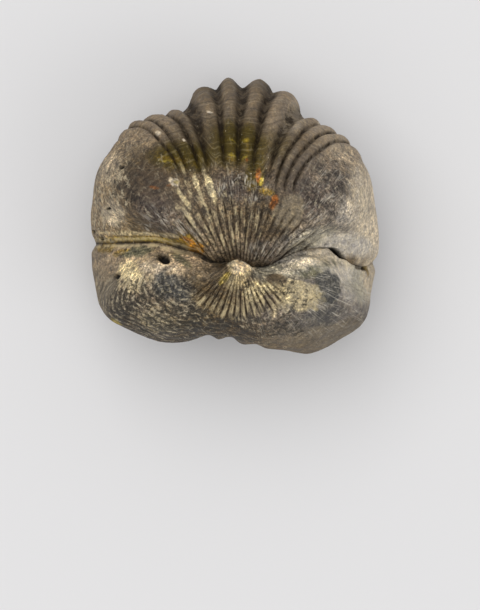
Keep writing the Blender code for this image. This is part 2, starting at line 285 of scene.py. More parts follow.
    def body(self, angle: np.ndarray, v: np.ndarray, fit: np.ndarray) -> np.ndarray:
        """Smooth body with its outline, fold and sulcus.

        Args:
            angle: page angles in degrees.
            v: shares round the page's section.
            fit: the result of outline_fit.

        Returns:
            Points, (..., 3).
        """
        p = self.page_point(angle, v)
        rise = through(self.fold, angle) * self.fold_band(self.off_middle(angle, v))
        turn = np.radians(angle)
        dx = p[..., 0] - self.centre[0]
        dy = p[..., 1] - self.centre[1]
        scale = self.round_curve(fit, np.degrees(np.arctan2(dy, dx)))
        x = self.centre[0] + dx * scale
        y = self.centre[1] + dy * scale + rise * np.sin(turn)
        z = p[..., 2] - rise * np.cos(turn)
        over = np.clip((z - self.rest_depth) / self.rest_ease, -40, 40)
        z = self.rest_depth + self.rest_ease * np.log1p(np.exp(over))
        return np.stack([x, y, z], axis=-1)

    @staticmethod
    def round_curve(values: np.ndarray, way: np.ndarray) -> np.ndarray:
        """Periodic smooth curve through values spaced evenly round a circle.

        Args:
            values: the values, from 0 degrees on.
            way: directions in degrees.

        Returns:
            The curve's value in each direction.
        """
        count = len(values)
        place = (way % 360) / 360 * count
        i = np.floor(place).astype(int)
        t = place - i
        a, b, c, d = (values[(i + k) % count] for k in (-1, 0, 1, 2))
        return b + 0.5 * t * (c - a + t * (2 * a - 5 * b + 4 * c - d + t * (3 * (b - c) + d - a)))

    def outward(self, angle: np.ndarray, v: np.ndarray, fit: np.ndarray) -> np.ndarray:
        """Outward unit normal of the smooth body.

        Args:
            angle: page angles in degrees.
            v: shares round the page's section.
            fit: the result of outline_fit.

        Returns:
            Normals, (..., 3).
        """
        along = self.body(angle + 0.25, v, fit) - self.body(angle - 0.25, v, fit)
        round_ = self.body(angle, v + 0.002, fit) - self.body(angle, v - 0.002, fit)
        n = np.cross(along, round_)
        return n / np.maximum(np.linalg.norm(n, axis=-1, keepdims=True), 1e-9)

    def share_of(self, front: np.ndarray, angle: np.ndarray) -> np.ndarray:
        """Share v of the line of growth that has share front at the shell's front.

        Args:
            front: shares at the shell's front.
            angle: page angles in degrees.

        Returns:
            The shares on those pages.
        """
        end = np.where(front < 0, -self.grooves[0][1], self.grooves[-1][1])
        size = np.abs(front)
        wide = through(self.spread, angle)
        beyond = (size - end) / (self.last_share - end)
        outer = end * wide + beyond * (self.last_share - end * wide)
        v = np.where(size <= end, size * wide, outer) * np.sign(front)
        return v + through(self.fold_middle, angle) * (1 - size / self.last_share)

    def edge_angle(self, number: np.ndarray, v: np.ndarray) -> np.ndarray:
        """Page angle of the commissure, with its zigzag.

        Args:
            number: rib numbers.
            v: shares at the front.

        Returns:
            Angles in degrees.
        """
        off = self.off_middle(np.zeros(1), v)
        tongue = 1 - ramp(off, *self.tongue_edge)
        flank = self.flank_angle * (1 - ramp(off, *self.flank_edge))
        zigzag = -np.cos(2 * math.pi * number) * (1 - ramp(off, *self.zigzag_edge))
        return flank + (self.tongue_angle - flank) * tongue + self.zigzag_angle * zigzag


@dataclass(frozen=True)
class Pit:
    """A hole or pit worn into the shell, seen from above."""

    x: float
    y: float
    across: float
    along: float
    turn: float
    depth: float

    def share(self, places: np.ndarray) -> np.ndarray:
        """1 inside the pit, 0 outside, with a steep rim.

        Args:
            places: points on the smooth body.

        Returns:
            The share at each point.
        """
        turn = math.radians(self.turn)
        dx = places[..., 0] - self.x
        dy = places[..., 1] - self.y
        a = (dx * math.cos(turn) + dy * math.sin(turn)) / self.across
        b = (dy * math.cos(turn) - dx * math.sin(turn)) / self.along
        wobble = 0.22 * noise(places, min(self.across, self.along) * 1.3, 7)
        return 1 - ramp(np.hypot(a, b) + wobble, 0.62, 1.08)


@dataclass(frozen=True)
class Fan:
    """Fine ribs that spread from the umbo like a fan, placed as seen from above."""

    root: float
    pitch: float
    reach: tuple[float, float]
    width: tuple[float, float]
    left: float = 1.0

    def rays(self, side: Side, places: np.ndarray) -> tuple[np.ndarray, np.ndarray]:
        """Direction of each place from the fan's root in degrees, and its distance in mm."""
        ahead = side.value * (places[..., 1] - self.root)
        return np.degrees(np.arctan2(places[..., 0], ahead)), np.hypot(places[..., 0], ahead)

    def crest(self, side: Side, places: np.ndarray) -> np.ndarray:
        """0 in the grooves of the fan, 1 on its ribs.

        Args:
            side: which valve.
            places: points on the smooth body.

        Returns:
            The crest share at each point.
        """
        turn, away = self.rays(side, places)
        bend = 1.1 * noise(np.stack([turn / 14, away / 1.6, 0 * away], axis=-1), 1.0, 23)
        return np.abs(np.sin(math.pi * (turn + bend) / self.pitch)) ** 0.9

    def share(self, side: Side, places: np.ndarray) -> np.ndarray:
        """How plain the fan's ribs are: 1 near the umbo, 0 beyond its reach.

        Args:
            side: which valve.
            places: points on the smooth body.

        Returns:
            The share at each point.
        """
        turn, away = self.rays(side, places)
        spread = np.where(turn < 0, -turn * self.left, turn)
        return (1 - ramp(away, *self.reach)) * (1 - ramp(spread, *self.width))


FANS = {
    Side.BRACHIAL: Fan(root=-2.4, pitch=4.9, reach=(5.8, 8.8), width=(52, 70), left=1.36),
    Side.PEDICLE: Fan(root=0.35, pitch=6.3, reach=(3.9, 5.2), width=(46, 66)),
}


@dataclass(frozen=True)
class Relief:
    """Heights of the ribs, costellae, growth lines and wear over the smooth body."""

    halt_angle: float = 99.0
    coarse: float = 0.78
    flank: float = 0.42
    fine: float = 0.15
    step: float = 0.12
    notch: float = 0.34
    growth: float = 0.05
    lumps: float = 0.06

    @staticmethod
    def rib_crest(side: Side, number: np.ndarray, angle: np.ndarray) -> np.ndarray:
        """0 in the grooves of the coarse ribs, 1 on their crests.

        Args:
            side: which valve.
            number: rib numbers, whole in the brachial valve's grooves.
            angle: page angles.

        Returns:
            The crest share; the two outer ribs of the fold lean inwards.
        """
        size = np.abs(number)
        outer = np.clip(size - 1, 0, 1)
        leaning = ramp(size, 0.98, 1.02) * (1 - ramp(size, 1.98, 2.02))
        place = size + (outer ** 0.72 - outer) * leaning
        wave = np.sin if side is Side.BRACHIAL else np.cos
        at_front = 1 - ramp(angle, 62, 92)
        on_fold = 1 - ramp(size, 1.9, 2.6)
        outside = ramp(size, 1.35, 1.6)
        keen = 0.75 + on_fold * (0.05 + (0.95 + 0.7 * outside) * at_front)
        return np.abs(wave(math.pi * place)) ** keen

    def coarse_share(self, side: Side, number: np.ndarray, angle: np.ndarray) -> np.ndarray:
        """How far the coarse ribs have replaced the fine ones.

        Args:
            side: which valve.
            number: rib numbers.
            angle: page angles in degrees.

        Returns:
            0 where they are fine, 1 where they are coarse.
        """
        if side is Side.BRACHIAL:
            halt = self.halt_angle + 7 * ramp(number, 2.0, 3.2)
            return 1 - ramp(angle, halt - 9, halt + 5)
        beside = ramp(np.abs(number), 1.5, 3.0)
        return ramp(angle, -70 + 35 * beside, -25 + 15 * beside)

    def height(
        self, form: ShellForm, side: Side, angle: np.ndarray, v: np.ndarray,
        number: np.ndarray, from_edge: np.ndarray, smooth: np.ndarray,
    ) -> tuple[np.ndarray, np.ndarray, np.ndarray, np.ndarray]:
        """Height of the ribs, with masks for the finish.

        Args:
            form: the shell's smooth body.
            side: which valve.
            angle: page angles.
            v: shares round the page's section.
            number: rib numbers.
            from_edge: distance to the commissure.
            smooth: the smooth body's points.

        Returns:
            The height, the crest share from 0 in a groove to 1 on a crest, how far the
            coarse ribs are raised, and how far the fine ones are.
        """
        off = form.off_middle(angle, v)
        from_hinge = np.linalg.norm(smooth - [0.0, 0.0, form.hinge_z], axis=-1)
        ribbed = ramp(number, form.grooves[0][0], form.grooves[0][0] + 2.5)
        ribbed = ribbed * (1 - ramp(number, form.grooves[-1][0] - 1.0, form.grooves[-1][0]))
        crest = self.rib_crest(side, number, angle)
        coarse = self.coarse_share(side, number, angle) * ribbed
        on_fold = 1 - ramp(off, 0.10, 0.17)
        tall = self.flank + (self.coarse - self.flank) * on_fold
        corner = ramp(off, 0.10, 0.13) * (1 - ramp(off, 0.16, 0.20)) * (1 - ramp(angle, 25, 50))
        ending = ramp(from_edge, 0.0, 1.4) * (1 - 0.8 * corner)
        ledge = np.zeros_like(angle)
        if side is Side.PEDICLE:
            plain = ramp(angle, -75, -60) * (1 - ramp(angle, -38, -24))
            coarse = coarse * (1 - 0.9 * ramp(smooth[..., 0], 1.2, 2.4) * plain)
        else:
            ledge = self.step * (1 - ramp(angle, self.halt_angle - 4, self.halt_angle)) * ribbed
        fan = FANS[side]
        up = ramp(smooth[..., 2], form.hinge_z - 9, form.hinge_z - 5)
        bare = 0.45 if side is Side.BRACHIAL else 1.1
        fine = fan.share(side, smooth) * (1 - coarse) * up * ramp(from_hinge, bare, 2 * bare)
        fine_crest = fan.crest(side, smooth)
        coarse_rib = (crest - 0.35) * coarse * tall * ending
        fine_rib = (fine_crest - 0.5) * fine * self.fine * (0.9 if side is Side.BRACHIAL else 1.1)
        right = 1 - 0.75 * ramp(smooth[..., 0], 1.5, 4.0) * up
        seam = self.notch * np.exp(-((from_edge / 0.45) ** 2)) * ramp(off, 0.35, 0.5) * right
        lift = (coarse_rib + ledge - seam) * ramp(from_hinge, 0.8, 3.0) + fine_rib
        shown = 1 + (crest - 1) * coarse + (fine_crest - 1) * fine
        return lift, shown, coarse, fine


# ------------------------------------------------------------------ colour
class Pigment(Enum):
    """The colours of the shell, its stains and the rock dust on it, linear; some patches use them
    as painted shade and painted light.
    """

    BROWN = (0.142, 0.112, 0.080)
    UMBER = (0.064, 0.047, 0.029)
    TAUPE = (0.205, 0.176, 0.138)
    CLAY = (0.245, 0.200, 0.156)
    BEIGE = (0.410, 0.360, 0.302)
    CHALK = (0.560, 0.505, 0.435)
    PEARL = (0.500, 0.475, 0.455)
    CREAM = (0.490, 0.428, 0.295)
    PINK = (0.400, 0.326, 0.245)
    OLIVE = (0.084, 0.063, 0.006)
    OCHRE = (0.210, 0.145, 0.026)
    YELLOW = (0.370, 0.300, 0.050)
    AMBER = (0.420, 0.220, 0.025)
    RUST = (0.270, 0.105, 0.018)
    PLUM = (0.077, 0.062, 0.058)
    MAUVE = (0.174, 0.158, 0.153)
    SLATE = (0.084, 0.085, 0.088)
    GREY = (0.360, 0.345, 0.302)
    MOSS = (0.120, 0.120, 0.085)


@dataclass(frozen=True)
class Patch:
    """A soft-edged patch of one pigment, placed as seen from above."""

    pigment: Pigment
    x: float
    y: float
    across: float
    along: float
    turn: float = 0.0
    strength: float = 1.0
    soft: float = 0.45
    ragged: float = 0.30

    def share(self, places: np.ndarray) -> np.ndarray:
        """How much of the pigment lies at each place, 0 to 1.

        Args:
            places: points on the smooth body.

        Returns:
            The share at each point.
        """
        turn = math.radians(self.turn)
        dx = places[..., 0] - self.x
        dy = places[..., 1] - self.y
        a = (dx * math.cos(turn) + dy * math.sin(turn)) / self.across
        b = (dy * math.cos(turn) - dx * math.sin(turn)) / self.along
        size = max(0.45, 0.6 * min(self.across, self.along))
        wobble = self.ragged * rough(places, size, int(11 + 13 * abs(self.x) + 7 * abs(self.y)))
        return self.strength * (1 - ramp(np.hypot(a, b) + wobble, 1 - self.soft, 1 + self.soft))


def painted(ground: Colour, patches: Sequence[Patch], places: np.ndarray,
            seen: np.ndarray) -> np.ndarray:
    """Colour of every place, from a ground colour and patches laid over it in order.

    Args:
        ground: colour under the patches.
        patches: patches, the first one lowest.
        places: points from the hinge point.
        seen: share of each patch that reaches a place, 0 on the shell's underside.

    Returns:
        Linear colours, (..., 3).
    """
    colour = np.ones(places.shape) * np.array(ground)
    for patch in patches:
        share = (patch.share(places) * seen)[..., None]
        colour = colour + (np.array(patch.pigment.value) - colour) * share
    return colour


def covered(patches: Sequence[Patch], places: np.ndarray, seen: np.ndarray) -> np.ndarray:
    """Joint cover of several patches, 0 to 1.

    Args:
        patches: the patches.
        places: points on the smooth body.
        seen: 1 where a point faces up, 0 where it faces down.

    Returns:
        The cover at each point.
    """
    bare = np.ones(places.shape[:-1])
    for patch in patches:
        bare = bare * (1 - patch.share(places) * seen)
    return 1 - bare


# ------------------------------------------------------------------ shader nodes
class Wires:
    """Short calls that add and join the nodes of one shader or geometry tree."""

    def __init__(self, tree: bpy.types.NodeTree) -> None:
        """Works on one node tree."""
        self.tree = tree

    def node(self, kind: str, inputs: dict[str | int, object] | None = None,
             **settings: object) -> bpy.types.Node:
        """Adds a node.

        Args:
            kind: the node's type.
            inputs: what its inputs are joined or set to.
            settings: its other settings.

        Returns:
            The node.
        """
        made = self.tree.nodes.new(kind)
        for name, value in settings.items():
            setattr(made, name, value)
        for place, value in (inputs or {}).items():
            self.feed(made.inputs[place], value)
        return made

    def feed(self, socket: bpy.types.NodeSocket, value: object) -> None:
        """Joins a socket to another one, or sets it to a value.

        Args:
            socket: one of a node's inputs.
            value: the output that it is joined to, or its value.
        """
        if isinstance(value, bpy.types.NodeSocket):
            self.tree.links.new(value, socket)
        else:
            socket.default_value = value

    def math(self, operation: str, a: object, b: object = 0.0, c: object = 0.5,
             clamp: bool = False) -> bpy.types.NodeSocket:
        """Result of one Math node; c is only used by operations of three values.

        Args:
            operation: the node's operation.
            a: first value.
            b: second value.
            c: third value.
            clamp: keeps the result from 0 to 1.

        Returns:
            The result.
        """
        made = self.node("ShaderNodeMath", operation=operation, use_clamp=clamp)
        for socket, value in zip(made.inputs, (a, b, c)):
            self.feed(socket, value)
        return made.outputs[0]

    def span(self, value: object, low: float, high: float, out_low: object = 0.0,
             out_high: object = 1.0) -> bpy.types.NodeSocket:
        """Smooth step of a value from low to high, as out_low to out_high.

        Args:
            value: the value.
            low: where the step starts.
            high: where it ends.
            out_low: the result below low.
            out_high: the result above high.

        Returns:
            The result.
        """
        made = self.node("ShaderNodeMapRange", interpolation_type="SMOOTHSTEP")
        for socket, item in zip(made.inputs, (value, low, high, out_low, out_high)):
            self.feed(socket, item)
        return made.outputs[0]

    def noise(self, vector: object, scale: object, detail: float = 3.0, roughness: float = 0.55,
              distortion: float = 0.0) -> bpy.types.NodeSocket:
        """Factor of one Noise Texture.

        Args:
            vector: places.
            scale: how fine the noise is.
            detail: how many finer noises lie on it.
            roughness: how strong those are.
            distortion: how much it is bent.

        Returns:
            The noise, about 0.5.
        """
        return self.node("ShaderNodeTexNoise", {
            "Vector": vector, "Scale": scale, "Detail": detail, "Roughness": roughness,
            "Distortion": distortion}).outputs[0]

    def mix(self, share: object, a: object, b: object, blend: str = "MIX") -> bpy.types.NodeSocket:
        """Colour between a and b.

        Args:
            share: how much of b shows.
            a: first colour.
            b: second colour.
            blend: how the two are joined.

        Returns:
            The colour.
        """
        return self.node("ShaderNodeMix", {0: share, 6: a, 7: b}, data_type="RGBA",
                         blend_type=blend, clamp_factor=True).outputs[2]

    def stretch(self, vector: object, scale: tuple[float, float, float],
                shift: tuple[float, float, float] = (0.0, 0.0, 0.0)) -> bpy.types.NodeSocket:
        """A vector with each part scaled and moved."""
        return self.node("ShaderNodeMapping", {
            "Vector": vector, "Scale": scale, "Location": shift}).outputs[0]

    def moved(self, vector: object, x: float, y: float, z: float) -> bpy.types.NodeSocket:
        """A vector moved, so that a noise on it has a pattern of its own."""
        return self.stretch(vector, (1, 1, 1), (x, y, z))

    def product(self, first: object, *others: object) -> bpy.types.NodeSocket:
        """All the values multiplied, in order.

        Args:
            first: the first value.
            others: the others.

        Returns:
            The product.
        """
        for value in others:
            first = self.math("MULTIPLY", first, value)
        return first

    def millimetres(self) -> bpy.types.NodeSocket:
        """Object coordinates in millimetres."""
        return self.stretch(self.node("ShaderNodeTexCoord").outputs["Object"], (PER_METRE,) * 3)

    def attribute(self, name: str, output: str = "Fac") -> bpy.types.NodeSocket:
        """One output of a named attribute of the mesh."""
        return self.node("ShaderNodeAttribute", attribute_name=name).outputs[output]


class NodeGroup:
    """A node group with named inputs and outputs."""

    kind: str = "ShaderNodeTree"

    def __init__(self, name: str, inputs: Sequence[tuple], outputs: Sequence[tuple]) -> None:
        """Starts a group.

        Args:
            name: the group's name.
            inputs: name and socket kind of each input, and its starting value if it has one.
            outputs: name and socket kind of each output.
        """
        self.tree = bpy.data.node_groups.new(name, self.kind)
        for way, rows in (("INPUT", inputs), ("OUTPUT", outputs)):
            for label, kind, *start in rows:
                socket = self.tree.interface.new_socket(label, in_out=way, socket_type=kind)
                if start:
                    socket.default_value = start[0]
        self.wires = Wires(self.tree)
        self.given = self.wires.node("NodeGroupInput")
        self.result = self.wires.node("NodeGroupOutput")

    def take(self, name: str) -> bpy.types.NodeSocket:
        """One of the group's inputs, seen from inside."""
        return self.given.outputs[name]


class EffectGroup(NodeGroup):
    """A shader node group that is built once and used by each finish."""

    def give(self, name: str, value: bpy.types.NodeSocket) -> None:
        """Joins a result to one of the group's outputs."""
        self.wires.feed(self.result.inputs[name], value)

    def give_cover(self, value: bpy.types.NodeSocket, keen: float) -> None:
        """Gives as Mask the share of a noise that the input Cover asks for.

        Args:
            value: the noise.
            keen: how sharp the mask's edges are.
        """
        w = self.wires
        level = w.math("MULTIPLY_ADD", self.take("Cover"), -0.5, 0.75)
        rise = w.math("SUBTRACT", value, level)
        self.give("Mask", w.math("MULTIPLY_ADD", rise, keen, 0.5, clamp=True))

    def wandering(self, scale: tuple[float, float, float], detail: float,
                  swing: float) -> tuple[bpy.types.NodeSocket, bpy.types.NodeSocket]:
        """Rib number and wandering growth place, from the input Place.

        Args:
            scale: how fast the growth place wanders along each part of Place.
            detail: how finely it wanders.
            swing: how far.

        Returns:
            The two values.
        """
        w = self.wires
        apart = w.node("ShaderNodeSeparateXYZ", {0: self.take("Place")})
        wander = w.noise(w.stretch(self.take("Place"), scale), 1.0, detail, 0.5)
        return apart.outputs[0], w.math("MULTIPLY_ADD", wander, swing, apart.outputs[1])

    def place(self, wires: Wires, **values: object) -> bpy.types.Node:
        """Puts the group in a material.

        Args:
            wires: the material's tree.
            values: what each of the group's inputs is joined or set to.

        Returns:
            The group node.
        """
        made = wires.tree.nodes.new("ShaderNodeGroup")
        made.node_tree = self.tree
        for name, value in values.items():
            wires.feed(made.inputs[name], value)
        return made


FLOAT, VECTOR = "NodeSocketFloat", "NodeSocketVector"
GEOMETRY, MATERIAL = "NodeSocketGeometry", "NodeSocketMaterial"


def mottle_group() -> EffectGroup:
    """Ragged blotches with crumbly edges."""
    group = EffectGroup("Mottle", [("Vector", VECTOR), ("Scale", FLOAT, 1.0),
                                   ("Cover", FLOAT, 0.5)], [("Mask", FLOAT)])
    group.give_cover(group.wires.noise(group.take("Vector"), group.take("Scale"), 6.0, 0.72, 0.6),
                     14.0)
    return group


def hairline_group() -> EffectGroup:
    """A net of thin broken crystal seams."""
    group = EffectGroup("Hairlines", [("Vector", VECTOR), ("Scale", FLOAT, 1.0),
                                      ("Width", FLOAT, 0.04)], [("Mask", FLOAT)])
    w = group.wires
    vector, scale = group.take("Vector"), group.take("Scale")
    bend = w.node("ShaderNodeTexNoise",
                  {"Vector": vector, "Scale": w.math("MULTIPLY", scale, 0.7)})
    bent = w.node("ShaderNodeMix", {0: 0.18, 4: vector, 5: bend.outputs["Color"]},
                  data_type="VECTOR")
    masks = []
    for turn in (0.5, 2.3):
        turned = w.node("ShaderNodeMapping", {
            "Rotation": (0.0, 0.0, turn), "Scale": (1.0, 0.35, 1.0), "Vector": bent.outputs[1]})
        cells = w.node("ShaderNodeTexVoronoi", {"Vector": turned.outputs[0], "Scale": scale},
                       feature="DISTANCE_TO_EDGE")
        line = w.math("DIVIDE", cells.outputs["Distance"], group.take("Width"))
        masks.append(w.math("SUBTRACT", 1.0, line, clamp=True))
    broken = w.noise(vector, w.math("MULTIPLY", scale, 1.3), 2.0)
    both = w.math("MAXIMUM", masks[0], masks[1])
    group.give("Mask", w.math("MULTIPLY", both, w.span(broken, 0.45, 0.60)))
    return group


def scratch_group() -> EffectGroup:
    """Thin pale scratches and threads that run out from the umbo."""
    group = EffectGroup("Scratches", [("Ray", VECTOR), ("Fineness", FLOAT, 1.0),
                                      ("Width", FLOAT, 0.03)], [("Mask", FLOAT)])
    w = group.wires
    masks = []
    for slant, shift in ((0.0, 0.0), (0.5, 13.0)):
        turned = w.node("ShaderNodeMapping", {
            "Rotation": (0.0, 0.0, slant), "Location": (shift, 0.0, 0.0),
            "Scale": (1.5, 0.16, 0.0), "Vector": group.take("Ray")})
        fold = w.noise(turned.outputs[0], group.take("Fineness"), 2.0, 0.5, 0.1)
        off = w.math("ABSOLUTE", w.math("SUBTRACT", fold, 0.5))
        line = w.math("DIVIDE", off, group.take("Width"))
        masks.append(w.math("SUBTRACT", 1.0, line, clamp=True))
    broken = w.noise(w.stretch(group.take("Ray"), (1.0, 0.8, 0.0), (5.0, 0.0, 0.0)), 1.2, 3.0)
    both = w.math("MAXIMUM", masks[0], w.math("MULTIPLY", masks[1], 0.7))
    group.give("Mask", w.math("MULTIPLY", both, w.span(broken, 0.44, 0.58)))
    return group


def growth_group() -> EffectGroup:
    """Growth lines that cross the ribs, from the shell's own rib and growth places."""
    group = EffectGroup("Growth Lines", [("Place", VECTOR), ("Pitch", FLOAT, 0.3)],
                        [("Line", FLOAT), ("Height", FLOAT)])
    w = group.wires
    number, along = group.wandering((0.35, 0.5, 0.0), 3.0, 0.7)
    joined = w.node("ShaderNodeCombineXYZ", {
        0: w.math("MULTIPLY", number, 0.25), 1: w.math("DIVIDE", along, group.take("Pitch"))})
    lines = w.noise(joined.outputs[0], 1.0, 2.0, 0.6)
    group.give("Height", lines)
    group.give("Line", w.span(lines, 0.54, 0.68))
    return group


def band_group() -> EffectGroup:
    """Pale and dark bands of growth, broken up into beads."""
    group = EffectGroup("Growth Bands", [("Place", VECTOR), ("Pitch", FLOAT, 0.5)],
                        [("Pale", FLOAT), ("Dark", FLOAT)])
    w = group.wires
    _, along = group.wandering((0.30, 0.45, 0.0), 2.0, 1.6)
    phase = w.math("MULTIPLY", w.math("DIVIDE", along, group.take("Pitch")), 2 * math.pi)
    wave = w.math("MULTIPLY", w.math("SINE", phase), 0.46)
    for name, shift, sign in (("Pale", 0.0, 1.0), ("Dark", 9.0, -1.0)):
        long_ = w.stretch(group.take("Place"), (1.7, 1.5, 0.0), (shift, 0.0, 0.0))
        bead = w.math("SUBTRACT", w.noise(long_, 1.0, 4.0, 0.75), 0.5)
        both = w.math("MULTIPLY_ADD", bead, 4.0, w.math("MULTIPLY", wave, sign))
        group.give(name, w.span(both, 0.30, 0.62))
    return group


def streak_group() -> EffectGroup:
    """Streaks that run out from the umbo."""
    group = EffectGroup("Streaks", [("Ray", VECTOR), ("Fineness", FLOAT, 3.0),
                                    ("Cover", FLOAT, 0.5)], [("Mask", FLOAT)])
    w = group.wires
    long_ = w.stretch(group.take("Ray"), (1.0, 0.55, 0.0))
    group.give_cover(w.noise(long_, group.take("Fineness"), 6.0, 0.74, 0.3), 9.0)
    return group


def speck_group() -> EffectGroup:
    """Small round specks scattered over a surface."""
    group = EffectGroup("Specks", [("Vector", VECTOR), ("Scale", FLOAT, 3.0),
                                   ("Size", FLOAT, 0.15)], [("Mask", FLOAT)])
    w = group.wires
    cells = w.node("ShaderNodeTexVoronoi",
                   {"Vector": group.take("Vector"), "Scale": group.take("Scale")}, feature="F1")
    pick = w.node("ShaderNodeSeparateColor", {0: cells.outputs["Color"]})
    size = w.math("MULTIPLY", group.take("Size"), pick.outputs[0])
    near = w.math("SUBTRACT", 1.0, w.math("DIVIDE", cells.outputs["Distance"], size), clamp=True)
    group.give("Mask", w.span(near, 0.0, 0.35))
    return group


# ------------------------------------------------------------------ finishes
@dataclass(frozen=True)
class ShellEffects:
    """The shared effects that the shell finishes are made of."""

    mottle: EffectGroup
    hairlines: EffectGroup
    scratches: EffectGroup
    growth: EffectGroup
    bands: EffectGroup
    streaks: EffectGroup
    specks: EffectGroup

    @classmethod
    def build(cls) -> ShellEffects:
        """Builds each effect's node group once."""
        return cls(mottle_group(), hairline_group(), scratch_group(), growth_group(),
                   band_group(), streak_group(), speck_group())


class Coat:
    """A material whose colour is laid on in layers, one over the other."""

    def __init__(self, name: str) -> None:
        """Starts a material of one name."""
        self.material = bpy.data.materials.new(name)
        self.material.use_nodes = True
        self.wires = Wires(self.material.node_tree)
        self.shader = self.material.node_tree.nodes["Principled BSDF"]
        self.colour: object = (1.0, 1.0, 1.0, 1.0)

    def lay(self, pigment: object, strength: float, *masks: object) -> bpy.types.NodeSocket:
        """Lays a pigment over the colour.

        Args:
            pigment: a colour, or the output of a node.
            strength: how much of it shows where every mask is 1.
            masks: where it lies.

        Returns:
            The masks, multiplied.
        """
        mask = self.wires.product(*masks)
        over = (*pigment, 1) if isinstance(pigment, tuple) else pigment
        self.colour = self.wires.mix(self.wires.product(mask, strength), self.colour, over)
        return mask

    def tint(self, tint: object) -> None:
        """Multiplies the colour by another."""
        self.colour = self.wires.mix(1.0, self.colour, tint, "MULTIPLY")

    def finish(self, rough: object, height: object, strength: float,
               reach: float) -> bpy.types.Material:
        """Feeds the shader.

        Args:
            rough: the roughness.
            height: the height of the bumps.
            strength: how plain the bumps are.
            reach: how high they are, in metres.

        Returns:
            The finished material.
        """
        bump = self.wires.node("ShaderNodeBump", {"Strength": strength, "Distance": reach,
                                                  "Height": height})
        for name, value in (("Base Color", self.colour), ("Roughness", rough),
                            ("Normal", bump.outputs[0])):
            self.wires.feed(self.shader.inputs[name], value)
        return self.material


